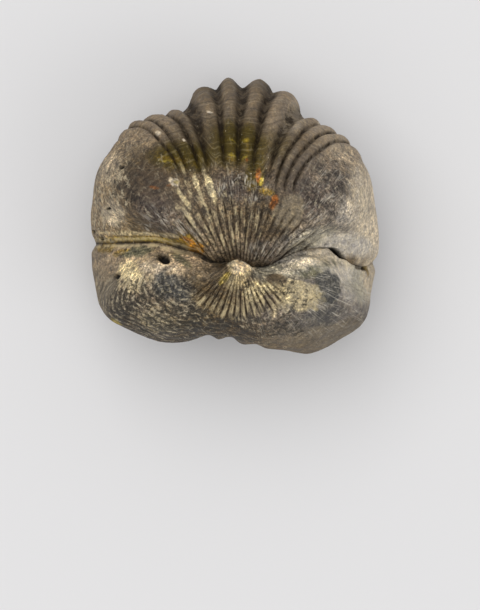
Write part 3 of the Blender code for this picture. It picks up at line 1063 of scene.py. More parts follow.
@dataclass(frozen=True)
class ShellFinish:
    """Weathered calcite shell: its painted ground colour, then a pale coat on the rib crests that
    is partly a painted highlight, painted shade in the rib grooves, seam and pits, lines, dust and
    wear.
    """

    name: str
    # Painted shade in the grooves between the ribs.
    groove_shade: Colour = (0.030, 0.020, 0.010)
    # Pale coat, partly a painted highlight where it lies on the rib crests.
    film: Colour = (0.49, 0.43, 0.31)
    film_and_highlight_low: Colour = (0.24, 0.205, 0.155)
    hair: Colour = (0.50, 0.480, 0.460)
    dust: Colour = (0.50, 0.455, 0.375)
    dark: Colour = (0.035, 0.032, 0.028)
    # Painted shade in the seam, the pits and on the closing face.
    pit: Colour = (0.008, 0.006, 0.004)
    cool: Colour = (0.96, 0.98, 1.07)
    warm: Colour = (1.03, 1.01, 0.96)
    growth_pitch: float = 0.14
    band_pitch: float = 0.52
    swings: tuple[float, float, float] = (2.2, 3.0, 4.4)
    calmed: float = 0.65
    depth: float = 1.28
    warmth: Colour = (1.32, 1.27, 1.10)
    roughness: tuple[float, float] = (0.58, 0.85)
    gloss: float = 0.22
    bump_strength: float = 0.6
    bump_reach: float = 0.00005

    def build(self, effects: ShellEffects) -> bpy.types.Material:
        """Makes the material.

        Args:
            effects: the shared effect groups.

        Returns:
            The material, ready to be put on a valve.
        """
        coat = Coat(self.name)
        w = coat.wires
        here = w.millimetres()
        place, ray = w.attribute("place", "Vector"), w.attribute("ray", "Vector")
        tone = w.noise(here, 0.75, 4.0, 0.65)
        patchy = w.noise(w.moved(here, 5.0, 8.0, 2.0), 2.0, 4.0, 0.70)
        fine = w.noise(here, 6.0, 4.0, 0.80)
        self.ground(coat, tone, patchy, fine)
        self.salt(coat, here, ray)

        growth = effects.growth.place(w, Place=place, Pitch=self.growth_pitch)
        lines = w.attribute("lines")
        coat.lay(self.dark, 0.40, growth.outputs["Line"], lines)
        coat.lay(self.dust, 0.22, w.span(growth.outputs["Height"], 0.46, 0.34), lines)
        coat.lay(self.film, 0.75, w.attribute("lip"), w.span(patchy, 0.36, 0.52))
        banded = w.attribute("bands")
        bands = effects.bands.place(w, Place=place, Pitch=self.band_pitch)
        beads = coat.lay(self.dust, 0.62, bands.outputs["Pale"], banded)
        coat.lay(self.dark, 0.70, bands.outputs["Dark"], banded)

        blot = effects.mottle.place(w, Vector=here, Scale=1.7, Cover=w.attribute("mottle"))
        coat.lay(self.dust, 0.62, blot.outputs[0])
        dots = effects.mottle.place(w, Vector=w.moved(here, 31.0, 7.0, 3.0), Scale=2.4,
                                     Cover=w.attribute("spots"))
        coat.lay(self.dark, 0.75, dots.outputs[0])
        crest = w.attribute("crest")
        # Pale streaks laid only on the rib crests: partly the shell's pale coat, partly a painted
        # highlight on the crests.
        streaks = effects.streaks.place(w, Ray=ray, Fineness=1.5, Cover=w.attribute("film"))
        film = w.mix(w.span(patchy, 0.35, 0.62), (*self.film_and_highlight_low, 1), (*self.film, 1))
        coat.lay(film, 0.85, streaks.outputs[0], w.span(crest, 0.30, 0.80))
        # Painted shade: dark brown laid in the grooves between the ribs, weaker here and there by
        # noise.
        uneven_groove_shade = w.noise(w.stretch(ray, (1.3, 1.6, 0.0)), 1.2, 4.0, 0.7)
        low = coat.lay(self.groove_shade, 0.92, w.span(crest, 0.80, 0.24),
                       w.span(uneven_groove_shade, 0.40, 0.56, 1.0, 0.45), w.attribute("grooved"))

        thread = effects.scratches.place(w, Ray=ray, Fineness=1.5, Width=0.022)
        hair = effects.hairlines.place(w, Vector=here, Scale=2.2, Width=0.055)
        thin = w.math("MAXIMUM", thread.outputs[0], w.product(hair.outputs[0], 0.4))
        thin = coat.lay(self.hair, 0.80, thin, w.attribute("hair"))
        specks = effects.specks.place(w, Vector=here, Scale=1.6, Size=0.10)
        coat.lay(self.dust, 0.8, specks.outputs[0])
        # Painted shade: near-black in the seam between the valves, in the pits and on the face that
        # closes each valve.
        coat.lay(self.pit, 1.0, w.attribute("hollow_shade"))
        coat.colour = w.node("ShaderNodeGamma",
                             {"Color": coat.colour, "Gamma": self.depth}).outputs[0]
        coat.tint((*self.warmth, 1))

        relief = w.product(streaks.outputs[0], 0.30)
        for height, share in ((fine, 0.9), (patchy, 1.2), (growth.outputs["Height"], 0.6),
                              (beads, 0.5), (thin, 0.25)):
            relief = w.math("MULTIPLY_ADD", height, share, relief)
        rough_value = w.math("MULTIPLY_ADD", low, 0.15, w.span(tone, 0.3, 0.7, *self.roughness))
        coat.shader.inputs["Specular IOR Level"].default_value = self.gloss
        return coat.finish(rough_value, relief, self.bump_strength, self.bump_reach)

    def ground(self, coat: Coat, tone: object, patchy: object, fine: object) -> None:
        """Lays the painted ground, lighter and darker from place to place.

        Args:
            coat: the material.
            tone: broad noise.
            patchy: noise of middling size.
            fine: fine noise.
        """
        w = coat.wires
        swing = w.product(*[self.swing(w, value, power)
                            for value, power in zip((tone, patchy, fine), self.swings)])
        calm = w.math("MULTIPLY_ADD", w.attribute("calm"), -self.calmed, 1.0)
        swing = w.math("POWER", swing, calm)
        coat.colour = w.attribute("ground", "Color")
        coat.tint(w.mix(w.span(patchy, 0.30, 0.70), (*self.cool, 1), (*self.warm, 1)))
        coat.tint(w.node("ShaderNodeCombineColor", {0: swing, 1: swing, 2: swing}).outputs[0])

    def salt(self, coat: Coat, here: object, ray: object) -> None:
        """Lays short white threads and black pepper over the ground.

        Args:
            coat: the material.
            here: places in millimetres.
            ray: places along and across the fan.
        """
        w = coat.wires
        patches = w.noise(w.moved(here, 2.0, 9.0, 4.0), 0.9, 3.0, 0.6)
        salted = w.product(w.attribute("salt"), w.span(patches, 0.36, 0.62, 0.15, 1.0))
        threads = w.noise(w.stretch(ray, (4.5, 1.3, 1.3)), 1.0, 3.0, 0.65)
        coat.lay(self.dust, 0.50, w.span(threads, 0.57, 0.64), salted)
        pepper = w.noise(w.moved(here, 17.0, 5.0, 1.0), 5.5, 3.0, 0.6)
        coat.lay(self.dark, 0.60, w.span(pepper, 0.57, 0.65), salted)

    @staticmethod
    def swing(w: Wires, value: object, power: float) -> bpy.types.NodeSocket:
        """A factor about 1 that rises and falls with a noise about 0.5."""
        return w.math("POWER", math.exp(power), w.math("SUBTRACT", value, 0.5))


@dataclass(frozen=True)
class GrainFinish:
    """Rock grains caught in the seam and the grooves."""

    name: str = "ochre rock grains"
    low: Colour = (0.16, 0.105, 0.040)
    high: Colour = (0.46, 0.39, 0.26)
    roughness: float = 0.8
    bump_reach: float = 0.00003

    def build(self) -> bpy.types.Material:
        """Makes the material."""
        coat = Coat(self.name)
        w = coat.wires
        here = w.millimetres()
        spread = w.span(w.noise(here, 2.5, 3.0, 0.7), 0.35, 0.65)
        coat.colour = w.mix(spread, (*self.low, 1), (*self.high, 1))
        return coat.finish(self.roughness, w.noise(here, 14.0, 3.0), 1.0, self.bump_reach)


# ------------------------------------------------------------------ what lies on the shell
# Places are read as seen from above, from the hinge point: x to the right, y to the fold.
P = Pigment


def laid(*rows: tuple) -> tuple[Patch, ...]:
    """Patches from rows of pigment, x, y, across, along, turn, strength, soft, ragged."""
    return tuple(Patch(*row) for row in rows)


def spots(*rows: tuple[float, ...]) -> tuple[Patch, ...]:
    """Patches that only mark places, from rows that start at x."""
    return tuple(Patch(P.GREY, *row) for row in rows)


BRACHIAL_PATCHES = laid(
    (P.CLAY, -6.6, 9.6, 2.6, 1.4, 35, 1.0), (P.CLAY, -9.6, 5.6, 1.7, 3.4, -14, 0.4),
    (P.PINK, -9.9, 3.3, 1.4, 2.2, 10, 0.3, 0.6, 0.5),
    (P.CHALK, -9.2, 3.4, 0.8, 0.9, 0, 0.65, 0.3, 0.6), (P.UMBER, -5.6, 6.6, 2.4, 1.5, 25, 0.6),
    (P.UMBER, -7.3, 6.4, 1.7, 1.9, 0, 0.55), (P.PLUM, -6.4, 5.0, 2.9, 1.9, -20, 0.9),
    (P.PLUM, -5.6, 4.9, 1.7, 1.3, -20, 0.75), (P.BEIGE, -9.4, 6.8, 1.0, 1.2, -14, 0.5),
    (P.OCHRE, -7.0, 3.0, 4.2, 6.0, 0, 0.1), (P.PLUM, -5.2, 3.2, 2.4, 1.5, -30, 0.85),
    (P.UMBER, -3.2, 5.2, 1.7, 1.5, 20, 0.55), (P.RUST, -6.1, 5.35, 0.32, 0.09, -15, 0.5, 0.4, 0.8),
    (P.RUST, -5.1, 5.5, 0.2, 0.08, 10, 0.45, 0.4, 0.8), (P.MAUVE, 6.4, 4.9, 3.4, 3.2, 0, 0.6),
    (P.PLUM, 4.8, 4.2, 1.2, 0.9, 30, 0.75), (P.PEARL, 7.8, 2.9, 0.9, 1.7, 6, 0.4),
    # Painted light: the next two patches lighten the strip along the seam by the beak, where the
    # valley between the valves lies in shade.
    (P.PEARL, 3.7, 1.3, 1.7, 0.8, 25, 0.55), (P.CLAY, 0.3, 0.6, 3.2, 0.6, 0, 0.55),
    (P.PLUM, 5.2, 5.6, 2.1, 1.8, 35, 0.65), (P.BEIGE, 9.6, 3.6, 1.5, 4.6, 6, 0.95),
    (P.CHALK, 9.3, 3.2, 1.2, 3.2, 6, 0.55, 0.5, 0.6),
    (P.PEARL, 7.3, 1.4, 2.5, 0.85, -8, 0.9, 0.4, 0.3), (P.GREY, 5.0, 1.6, 1.9, 0.6, 25, 0.8),
    (P.CLAY, 7.0, 9.2, 2.7, 1.8, -40, 1.0), (P.BEIGE, 6.8, 9.0, 2.2, 1.2, -40, 0.45, 0.5, 0.5),
    (P.CLAY, 2.9, 11.0, 0.9, 2.2, -14, 0.95), (P.CLAY, -2.9, 11.0, 0.8, 1.6, 14, 0.35),
    (P.CLAY, 0.9, 11.8, 0.5, 1.5, -5, 0.4), (P.CLAY, -0.7, 11.3, 1.5, 1.7, 0, 0.4),
    (P.CLAY, 5.0, 8.0, 2.0, 2.4, -35, 0.3), (P.UMBER, 0.6, 3.2, 4.0, 2.4, 0, 0.4),
    (P.CLAY, -3.0, 3.6, 1.9, 2.6, 30, 0.35, 0.6, 0.5), (P.PLUM, 0.2, 5.4, 2.2, 1.2, 0, 0.8),
    (P.OLIVE, -0.1, 8.4, 1.6, 1.5, 0, 0.95, 0.4), (P.OLIVE, -3.9, 7.55, 2.3, 0.8, -8, 0.95, 0.4),
    (P.OLIVE, -2.0, 8.6, 1.6, 1.2, 0, 0.2), (P.UMBER, 0.7, 6.4, 1.2, 1.0, 0, 0.6),
    (P.UMBER, 1.2, 5.5, 0.8, 0.7, 0, 0.65), (P.BEIGE, 3.9, 10.6, 0.7, 1.5, -20, 0.7),
    (P.OLIVE, 1.1, 6.5, 0.6, 1.3, -15, 0.8), (P.OLIVE, 2.6, 8.2, 0.9, 0.9, 0, 0.35),
    (P.CREAM, -2.15, 5.4, 0.27, 1.05, 19, 0.95, 0.15, 0.6),
    (P.CREAM, -3.95, 4.45, 0.18, 0.9, 34, 0.85, 0.15, 0.6),
    (P.CHALK, -4.75, 5.75, 0.36, 0.24, -25, 0.7, 0.15, 0.8),
    (P.CREAM, -3.1, 5.5, 0.2, 0.65, 18, 0.8, 0.15, 0.7),
    (P.CREAM, -4.1, 6.7, 0.12, 0.4, 20, 0.7, 0.2, 0.6),
    (P.CREAM, -3.5, 3.0, 0.13, 0.95, 30, 0.7, 0.2, 0.6),
    (P.CREAM, -2.3, 3.6, 0.12, 0.8, 22, 0.6, 0.2, 0.6),
    (P.YELLOW, -4.6, 5.75, 0.22, 0.14, 0, 0.55, 0.3, 0.6),
    (P.OLIVE, -0.1, 8.2, 1.9, 1.3, 0, 0.6, 0.4), (P.OLIVE, -4.3, 7.2, 2.0, 0.7, -8, 0.6, 0.4),
    (P.YELLOW, -0.35, 8.45, 0.55, 0.05, 3, 0.45, 0.5, 0.9),
    (P.YELLOW, 0.35, 8.4, 0.24, 0.08, 0, 0.6, 0.5, 0.9),
    (P.OCHRE, 0.5, 7.95, 0.13, 0.5, 5, 0.45, 0.4, 0.8),
    (P.YELLOW, -0.52, 7.4, 0.22, 0.08, 0, 0.6, 0.5, 0.9),
    (P.OCHRE, -0.55, 7.15, 0.4, 0.16, 0, 0.45, 0.4, 0.8),
    (P.YELLOW, 0.35, 7.25, 0.22, 0.1, 0, 0.6, 0.4, 0.9),
    (P.YELLOW, -5.2, 7.2, 0.5, 0.06, -8, 0.5, 0.5, 0.8),
    (P.OCHRE, -4.6, 7.25, 1.1, 0.12, -10, 0.4, 0.5, 0.9),
    (P.CHALK, -2.05, 10.4, 0.17, 0.08, 0, 1.0, 0.2, 0.3),
    (P.CHALK, -3.95, 8.5, 0.12, 0.1, 0, 1.0, 0.2, 0.4),
    (P.CHALK, 0.1, 10.85, 0.06, 0.1, 0, 0.9, 0.2, 0.3),
    (P.CHALK, -5.9, 9.1, 0.28, 0.12, -15, 0.8, 0.3, 0.6),
    (P.CHALK, 5.7, 10.1, 0.12, 0.18, 0, 0.8, 0.2, 0.5),
    (P.OCHRE, 1.85, 5.1, 0.55, 0.28, -20, 0.8, 0.3, 0.8),
    (P.RUST, 0.47, 7.1, 0.11, 0.11, 0, 0.8, 0.3, 0.5),
    (P.RUST, 1.3, 6.15, 0.18, 0.4, -8, 0.9, 0.3, 0.6),
    (P.YELLOW, 1.52, 5.72, 0.13, 0.36, -10, 0.75, 0.3, 0.7),
    (P.RUST, 2.45, 4.4, 0.25, 0.52, -15, 0.85, 0.3, 0.6), (P.PINK, -0.1, 1.7, 0.5, 0.5, 0, 0.45),
    # The second patch below is dark plum over the recess right of the beak, under the umbo: partly
    # plum stain, partly painted shade.
    (P.TAUPE, 3.5, 3.5, 1.0, 1.3, -30, 0.95, 0.12, 0.28), (P.PLUM, 1.9, 0.7, 2.0, 0.9, -8, 0.65),
    (P.OCHRE, -6.8, 1.55, 3.5, 0.34, -3, 0.9, 0.4, 0.5),
    (P.YELLOW, -6.4, 1.62, 2.4, 0.11, -3, 0.55, 0.5, 0.7),
    (P.CREAM, -7.2, 2.05, 3.0, 0.16, -3, 0.6, 0.4, 0.7),
    (P.OCHRE, -3.75, 1.35, 0.85, 0.55, -40, 0.95, 0.3, 0.4),
    (P.AMBER, -3.2, 0.98, 0.6, 0.46, -38, 1.0, 0.3, 0.6),
    (P.RUST, -3.8, 1.6, 0.5, 0.16, -25, 0.65, 0.3, 0.6),
    (P.OCHRE, -9.9, 1.4, 0.7, 0.4, 0, 0.8, 0.3, 0.6),
)
PEDICLE_PATCHES = laid(
    (P.UMBER, -5.5, -4.6, 5.2, 1.6, -8, 0.3), (P.SLATE, -7.2, -3.4, 4.2, 2.2, -24, 0.5),
    (P.TAUPE, -10.2, -1.6, 1.0, 2.6, 10, 0.8), (P.PINK, -6.1, -0.1, 3.6, 1.5, -4, 0.9, 0.35, 0.4),
    (P.CREAM, -7.7, -1.3, 1.2, 0.75, -10, 0.7, 0.3, 0.8),
    (P.CLAY, -9.6, 0.2, 1.3, 1.4, 0, 0.65, 0.5, 0.5),
    (P.CREAM, -8.1, -0.6, 0.9, 0.75, 0, 0.85, 0.3, 0.7),
    (P.CHALK, -6.0, -0.45, 1.3, 0.42, -5, 0.45, 0.4, 0.7),
    (P.OCHRE, -3.4, -3.3, 2.4, 1.7, 0, 0.2, 0.5, 0.5),
    (P.CLAY, -6.0, -2.7, 2.4, 1.2, -10, 0.4, 0.5, 0.5),
    (P.MOSS, -7.4, 0.8, 1.2, 0.38, 8, 0.9, 0.3, 0.6),
    (P.MOSS, -4.2, 0.15, 0.95, 0.3, -35, 0.8, 0.3, 0.7),
    (P.OCHRE, -9.9, 1.2, 0.7, 0.4, 0, 0.8, 0.3, 0.6),
    (P.OCHRE, -8.7, 0.75, 0.6, 0.2, 20, 0.7, 0.3, 0.6),
    (P.SLATE, -4.9, -1.7, 1.7, 0.9, -10, 0.95, 0.4, 0.6),
    (P.SLATE, -4.0, -3.1, 1.1, 0.8, -20, 0.5, 0.5, 0.6),
    (P.CREAM, -6.1, -4.2, 1.3, 0.8, -15, 0.3, 0.5, 0.8), (P.UMBER, -8.7, -4.4, 1.1, 1.0, 0, 0.6),
    # Umber along the lower rim of the pedicle valve: the first patch darkens its middle, the second
    # is painted shade where the lower left rim turns under.
    (P.UMBER, -4.4, -6.0, 3.6, 0.7, 0, 0.85), (P.UMBER, -7.9, -5.1, 1.9, 0.9, -30, 0.6),
    (P.UMBER, -2.7, -1.5, 1.4, 1.2, -25, 0.5, 0.5, 0.6),
    (P.YELLOW, -1.05, -1.1, 0.65, 0.24, 45, 0.6, 0.3, 0.6),
    (P.UMBER, -1.35, -0.05, 0.62, 0.45, 0, 0.85, 0.4, 0.4),
    (P.UMBER, -0.4, -3.2, 2.4, 1.9, 0, 0.35), (P.CREAM, -0.4, -1.4, 0.8, 0.6, 0, 0.5, 0.5, 0.6),
    (P.CREAM, 0.9, -2.2, 0.7, 0.7, 0, 0.95, 0.2, 0.7),
    (P.CREAM, 1.85, -1.8, 0.55, 0.42, 0, 0.95, 0.2, 0.7),
    (P.MAUVE, 7.4, -2.6, 3.6, 3.4, 0, 0.95, 0.35, 0.25),
    (P.GREY, 4.4, -0.2, 3.6, 0.85, 8, 0.85, 0.4, 0.25),
    (P.CHALK, 4.6, 0.25, 1.9, 0.22, 20, 0.7, 0.3, 0.5),
    (P.CHALK, 4.2, -0.35, 2.0, 0.2, 18, 0.6, 0.3, 0.6),
    (P.CHALK, 7.4, 0.0, 2.4, 1.1, -14, 0.7, 0.4, 0.3),
    (P.GREY, 9.0, -1.2, 1.4, 1.4, 8, 0.7, 0.4, 0.4),
    (P.MOSS, 5.8, -0.5, 1.3, 0.45, 20, 0.8, 0.4, 0.9),
    (P.BROWN, 2.6, -1.25, 0.75, 0.45, 0, 0.95, 0.2, 0.4),
    (P.PEARL, 7.6, -0.9, 1.6, 0.6, -12, 0.7, 0.4, 0.4),
    (P.PEARL, 8.2, -2.2, 0.9, 1.3, 8, 0.45, 0.5, 0.5),
    (P.SLATE, 6.3, -1.8, 0.95, 1.15, 12, 0.95, 0.15, 0.3),
    (P.SLATE, 5.9, -4.1, 2.0, 0.9, 15, 0.75, 0.4, 0.3), (P.MAUVE, 8.3, -4.0, 1.4, 1.4, 0, 0.75),
    # The first patch below is painted shade: umber where the lower right rim turns under.
    (P.UMBER, 8.3, -5.1, 2.0, 1.0, 30, 0.6), (P.PEARL, 8.9, -0.8, 0.8, 0.6, 0, 0.6),
    # The first patch below is painted light: pale pearl along the seam right of the beak,
    # lightening the valley between the valves where shade falls.
    (P.PEARL, 3.9, 0.35, 1.3, 0.3, 15, 0.7), (P.GREY, 9.2, -1.3, 1.2, 1.6, 8, 0.8, 0.4, 0.4),
    (P.MAUVE, 2.8, -4.2, 2.8, 1.3, -14, 0.5), (P.UMBER, -0.6, -4.9, 3.4, 0.8, 0, 0.5),
    (P.CREAM, 4.3, -2.35, 1.6, 1.15, -12, 0.62, 0.08, 0.35),
    (P.CREAM, 3.0, -2.5, 1.1, 1.0, 0, 0.5, 0.4, 0.9),
    (P.PLUM, 2.2, -2.85, 0.55, 0.7, 20, 0.85, 0.3, 0.9),
    (P.BEIGE, 9.8, -1.2, 0.8, 1.9, 8, 0.9, 0.5, 0.5), (P.TAUPE, 6.8, -5.3, 4.0, 0.9, 8, 0.65),
    (P.YELLOW, -9.1, -4.4, 0.38, 0.32, 0, 0.7, 0.4, 0.7),
    (P.UMBER, 8.9, -0.4, 0.5, 0.16, -15, 0.85, 0.3, 0.7),
    (P.OCHRE, 9.4, -0.3, 0.14, 0.55, 0, 0.7, 0.3, 0.7),
    (P.CREAM, 0.0, -0.15, 0.86, 0.8, 0, 1.0, 0.2, 0.35),
    (P.CHALK, 0.05, -0.15, 0.75, 0.65, 0, 0.9, 0.4, 0.5),
    (P.UMBER, 0.0, 0.25, 0.12, 0.18, 0, 0.9, 0.3, 0.3),
)
SMOOTH_PLACES = spots(
    (9.4, 3.6, 1.5, 4.4, 6, 0.65, 0.4), (-6.4, 6.8, 2.6, 1.9, -30, 0.6, 0.4),
    (-5.7, 4.9, 1.9, 1.3, -20, 0.8, 0.4), (7.9, -2.4, 3.4, 3.4, 0, 1.0, 0.25),
    (6.0, -5.0, 4.0, 1.6, 8, 0.9, 0.3), (7.4, 0.9, 2.4, 1.4, -10, 1.0, 0.3),
    (3.5, 3.5, 1.0, 1.3, -30, 0.9, 0.15), (-10.0, -1.6, 1.1, 2.6, 10, 0.7),
    (2.6, -1.25, 0.75, 0.45, 0, 0.9),
)
CREAM_FAN = spots((-2.2, 3.4, 2.6, 3.2, 28), (-2.3, 5.3, 0.7, 1.6, -14),
                  (-4.2, 5.9, 0.9, 1.3, 40), (0.6, 2.6, 1.6, 2.2, 0, 0.7))
PALE_FLANKS = spots((-9.6, 4.0, 1.9, 3.6, -8), (-7.0, 9.4, 2.6, 1.4, 35, 0.7),
                    (9.4, 4.0, 1.5, 4.4, 6, 0.3))
BEADED_LOBE = spots((-6.2, -3.4, 4.2, 2.2, -18))
CREAM_LOBE = spots((4.0, -2.3, 2.1, 1.2, -6), (0.8, -1.4, 1.5, 1.2, -20))
CRUMBLY_LOBE = spots((0.0, -4.7, 3.6, 1.2, 0), (3.6, -4.3, 1.4, 0.9, -30))
SCRATCHED = {
    Side.BRACHIAL: spots((7.0, 4.4, 2.7, 3.4, 0, 0.7), (-5.3, 2.5, 2.3, 1.3, -25),
                         (0.2, 5.3, 2.0, 1.1, 0), (2.2, 0.7, 1.7, 0.7, -8)),
    Side.PEDICLE: spots((7.4, -2.4, 3.0, 2.4, 0), (3.8, -4.2, 2.8, 1.2, 0, 0.6)),
}
PITS = (
    Pit(-5.50, 0.36, 0.50, 0.40, -30, 0.45),
    Pit(-8.95, -0.98, 0.26, 0.22, 0, 0.30),
    Pit(-8.57, 6.90, 0.20, 0.17, 20, 0.30),
    Pit(-9.55, 3.88, 0.20, 0.14, 0, 0.25),
    Pit(-10.75, 2.30, 0.16, 0.12, 0, 0.30),
    Pit(-10.30, 1.78, 0.20, 0.14, 40, 0.35),
    Pit(9.15, -0.45, 0.22, 0.18, 10, 0.35),
)


# ------------------------------------------------------------------ geometry nodes
class MeshTree(NodeGroup):
    """A Geometry Nodes tree with named inputs, run once on an object and turned to a mesh."""

    kind: str = "GeometryNodeTree"

    def __init__(self, name: str, inputs: Sequence[tuple]) -> None:
        """Starts a tree.

        Args:
            name: the tree's name.
            inputs: name, socket kind and starting value of each input after the geometry.
        """
        geometry = ("Geometry", GEOMETRY)
        super().__init__(name, [geometry, *inputs], [geometry])

    def named(self, name: str, kind: str) -> bpy.types.NodeSocket:
        """A named attribute of the mesh."""
        return self.wires.node("GeometryNodeInputNamedAttribute", {"Name": name},
                               data_type=kind).outputs["Attribute"]

    def scaled(self, vector: bpy.types.NodeSocket, by: object) -> bpy.types.NodeSocket:
        """A vector times a number."""
        return self.wires.node("ShaderNodeVectorMath", {0: vector, "Scale": by},
                               operation="SCALE").outputs[0]

    def finish(self, geometry: bpy.types.NodeSocket) -> None:
        """Ends the tree: instances made real, then the material.

        Args:
            geometry: what the tree has made.
        """
        real = self.wires.node("GeometryNodeRealizeInstances", {0: geometry})
        finished = self.wires.node("GeometryNodeSetMaterial", {
            "Geometry": real.outputs[0], "Material": self.take("Material")})
        self.wires.feed(self.result.inputs[0], finished.outputs[0])

    def run(self, source: bpy.types.Object, values: dict[str, object]) -> bpy.types.Mesh:
        """Runs the tree on an object.

        Args:
            source: the object it is run on, which gets its modifier removed again.
            values: the tree's inputs by name.

        Returns:
            A plain mesh.
        """
        modifier = source.modifiers.new(self.tree.name, "NODES")
        modifier.node_group = self.tree
        for item in self.tree.interface.items_tree:
            if item.in_out == "INPUT" and item.name in values:
                modifier[item.identifier] = values[item.name]
        graph = bpy.context.evaluated_depsgraph_get()
        graph.update()
        mesh = bpy.data.meshes.new_from_object(
            source.evaluated_get(graph), preserve_all_data_layers=True, depsgraph=graph)
        source.modifiers.remove(modifier)
        return mesh


def weathering_tree() -> MeshTree:
    """Raises growth lines and weathers a shell's surface."""
    tree = MeshTree("Weathered Surface", [
        ("Lump Size", FLOAT, 1.4), ("Lump Depth", FLOAT, 0.05), ("Grain Size", FLOAT, 0.3),
        ("Grain Depth", FLOAT, 0.02), ("Growth Pitch", FLOAT, 0.5),
        ("Growth Depth", FLOAT, 0.03), ("Seed", FLOAT, 0.0), ("Material", MATERIAL)])
    w = tree.wires
    wear = tree.named("wear", "FLOAT")
    here = tree.scaled(w.node("GeometryNodeInputPosition").outputs[0], PER_METRE)
    depths = []
    for kind, detail in (("Lump", 2.0), ("Grain", 3.0)):
        made = w.node("ShaderNodeTexNoise", {
            "Vector": here, "W": tree.take("Seed"), "Detail": detail,
            "Scale": w.math("DIVIDE", 1.0, tree.take(kind + " Size"))}, noise_dimensions="4D")
        centred = w.math("SUBTRACT", made.outputs[0], 0.5)
        depths.append(w.math("MULTIPLY", centred, tree.take(kind + " Depth")))
    both = w.math("MULTIPLY", w.math("ADD", depths[0], depths[1]), wear)
    apart = w.node("ShaderNodeSeparateXYZ", {0: tree.named("place", "FLOAT_VECTOR")})
    wander = w.node("ShaderNodeTexNoise", {"Vector": tree.scaled(here, 0.4)})
    along = w.math("MULTIPLY_ADD", wander.outputs[0], 1.2, apart.outputs[1])
    joined = w.node("ShaderNodeCombineXYZ", {
        0: w.math("MULTIPLY", apart.outputs[0], 0.12),
        1: w.math("DIVIDE", along, tree.take("Growth Pitch")), 2: tree.take("Seed")})
    lines = w.node("ShaderNodeTexNoise",
                   {"Vector": joined.outputs[0], "Scale": 1.0, "Detail": 2.0})
    growth = w.math("MULTIPLY", w.math("SUBTRACT", lines.outputs[0], 0.5),
                    tree.take("Growth Depth"))
    growth = w.math("MULTIPLY", growth, tree.named("lines", "FLOAT"))
    total = w.math("MULTIPLY", w.math("ADD", both, growth), 2 * MM)
    push = tree.scaled(w.node("GeometryNodeInputNormal").outputs[0], total)
    moved = w.node("GeometryNodeSetPosition",
                   {"Geometry": tree.take("Geometry"), "Offset": push})
    tree.finish(moved.outputs[0])
    return tree


def grain_tree() -> MeshTree:
    """Scatters small rock grains where a surface catches them."""
    tree = MeshTree("Caught Grains", [
        ("Grain Radius", FLOAT, 0.05), ("Grains per mm2", FLOAT, 8.0),
        ("Seed", "NodeSocketInt", 0), ("Material", MATERIAL)])
    w = tree.wires
    density = w.math("MULTIPLY", tree.named("catch", "FLOAT"), tree.take("Grains per mm2"))
    points = w.node("GeometryNodeDistributePointsOnFaces", {
        "Mesh": tree.take("Geometry"), "Seed": tree.take("Seed"),
        "Density": w.math("MULTIPLY", density, PER_METRE ** 2)}, distribute_method="RANDOM")
    grain = w.node("GeometryNodeMeshIcoSphere", {
        "Subdivisions": 2, "Radius": w.math("MULTIPLY", tree.take("Grain Radius"), MM)})
    size = w.node("FunctionNodeRandomValue", {
        "Min": (0.35, 0.35, 0.25), "Max": (1.25, 1.0, 0.8), "Seed": tree.take("Seed")},
        data_type="FLOAT_VECTOR")
    placed = w.node("GeometryNodeInstanceOnPoints", {
        "Points": points.outputs["Points"], "Instance": grain.outputs["Mesh"],
        "Rotation": points.outputs["Rotation"], "Scale": size.outputs[0]})
    tree.finish(placed.outputs[0])
    return tree


# ------------------------------------------------------------------ the valves
def put(name: str, data: bpy.types.ID) -> bpy.types.Object:
    """Makes an object and puts it in the scene.

    Args:
        name: the object's name.
        data: its mesh, light or camera.

    Returns:
        The object.
    """
    made = bpy.data.objects.new(name, data)
    bpy.context.scene.collection.objects.link(made)
    return made


def settle(mesh: bpy.types.Mesh) -> None:
    """Keeps every vertex on or above the resting plane."""
    for vertex in mesh.vertices:
        vertex.co.z = max(vertex.co.z, 0.0)


def smoothed(mesh: bpy.types.Mesh) -> bpy.types.Mesh:
    """Shades a mesh smooth and gives it back."""
    for polygon in mesh.polygons:
        polygon.use_smooth = True
    return mesh


@dataclass(frozen=True)
class OpenSeam:
    """The stretch of the commissure that gapes, on the right of the beak."""

    keys: Keys = ((5.6, 0.0), (5.9, 0.12), (6.45, 0.13), (6.72, 0.36), (7.05, 0.54),
                  (7.30, 0.54), (7.5, 0.36), (7.66, 0.14), (7.80, 0.0))
    brachial_part: float = 0.2

    def part(self, side: Side) -> float:
        """The share of the gap that one valve gives way to."""
        return self.brachial_part if side is Side.BRACHIAL else 1 - self.brachial_part

    def width(self, line: np.ndarray, hinge_z: float) -> np.ndarray:
        """Extra gap at each point of the commissure."""
        behind = ramp(line[:, 2], hinge_z - 9, hinge_z - 6)
        return np.maximum(through(self.keys, line[:, 0]), 0.0) * behind


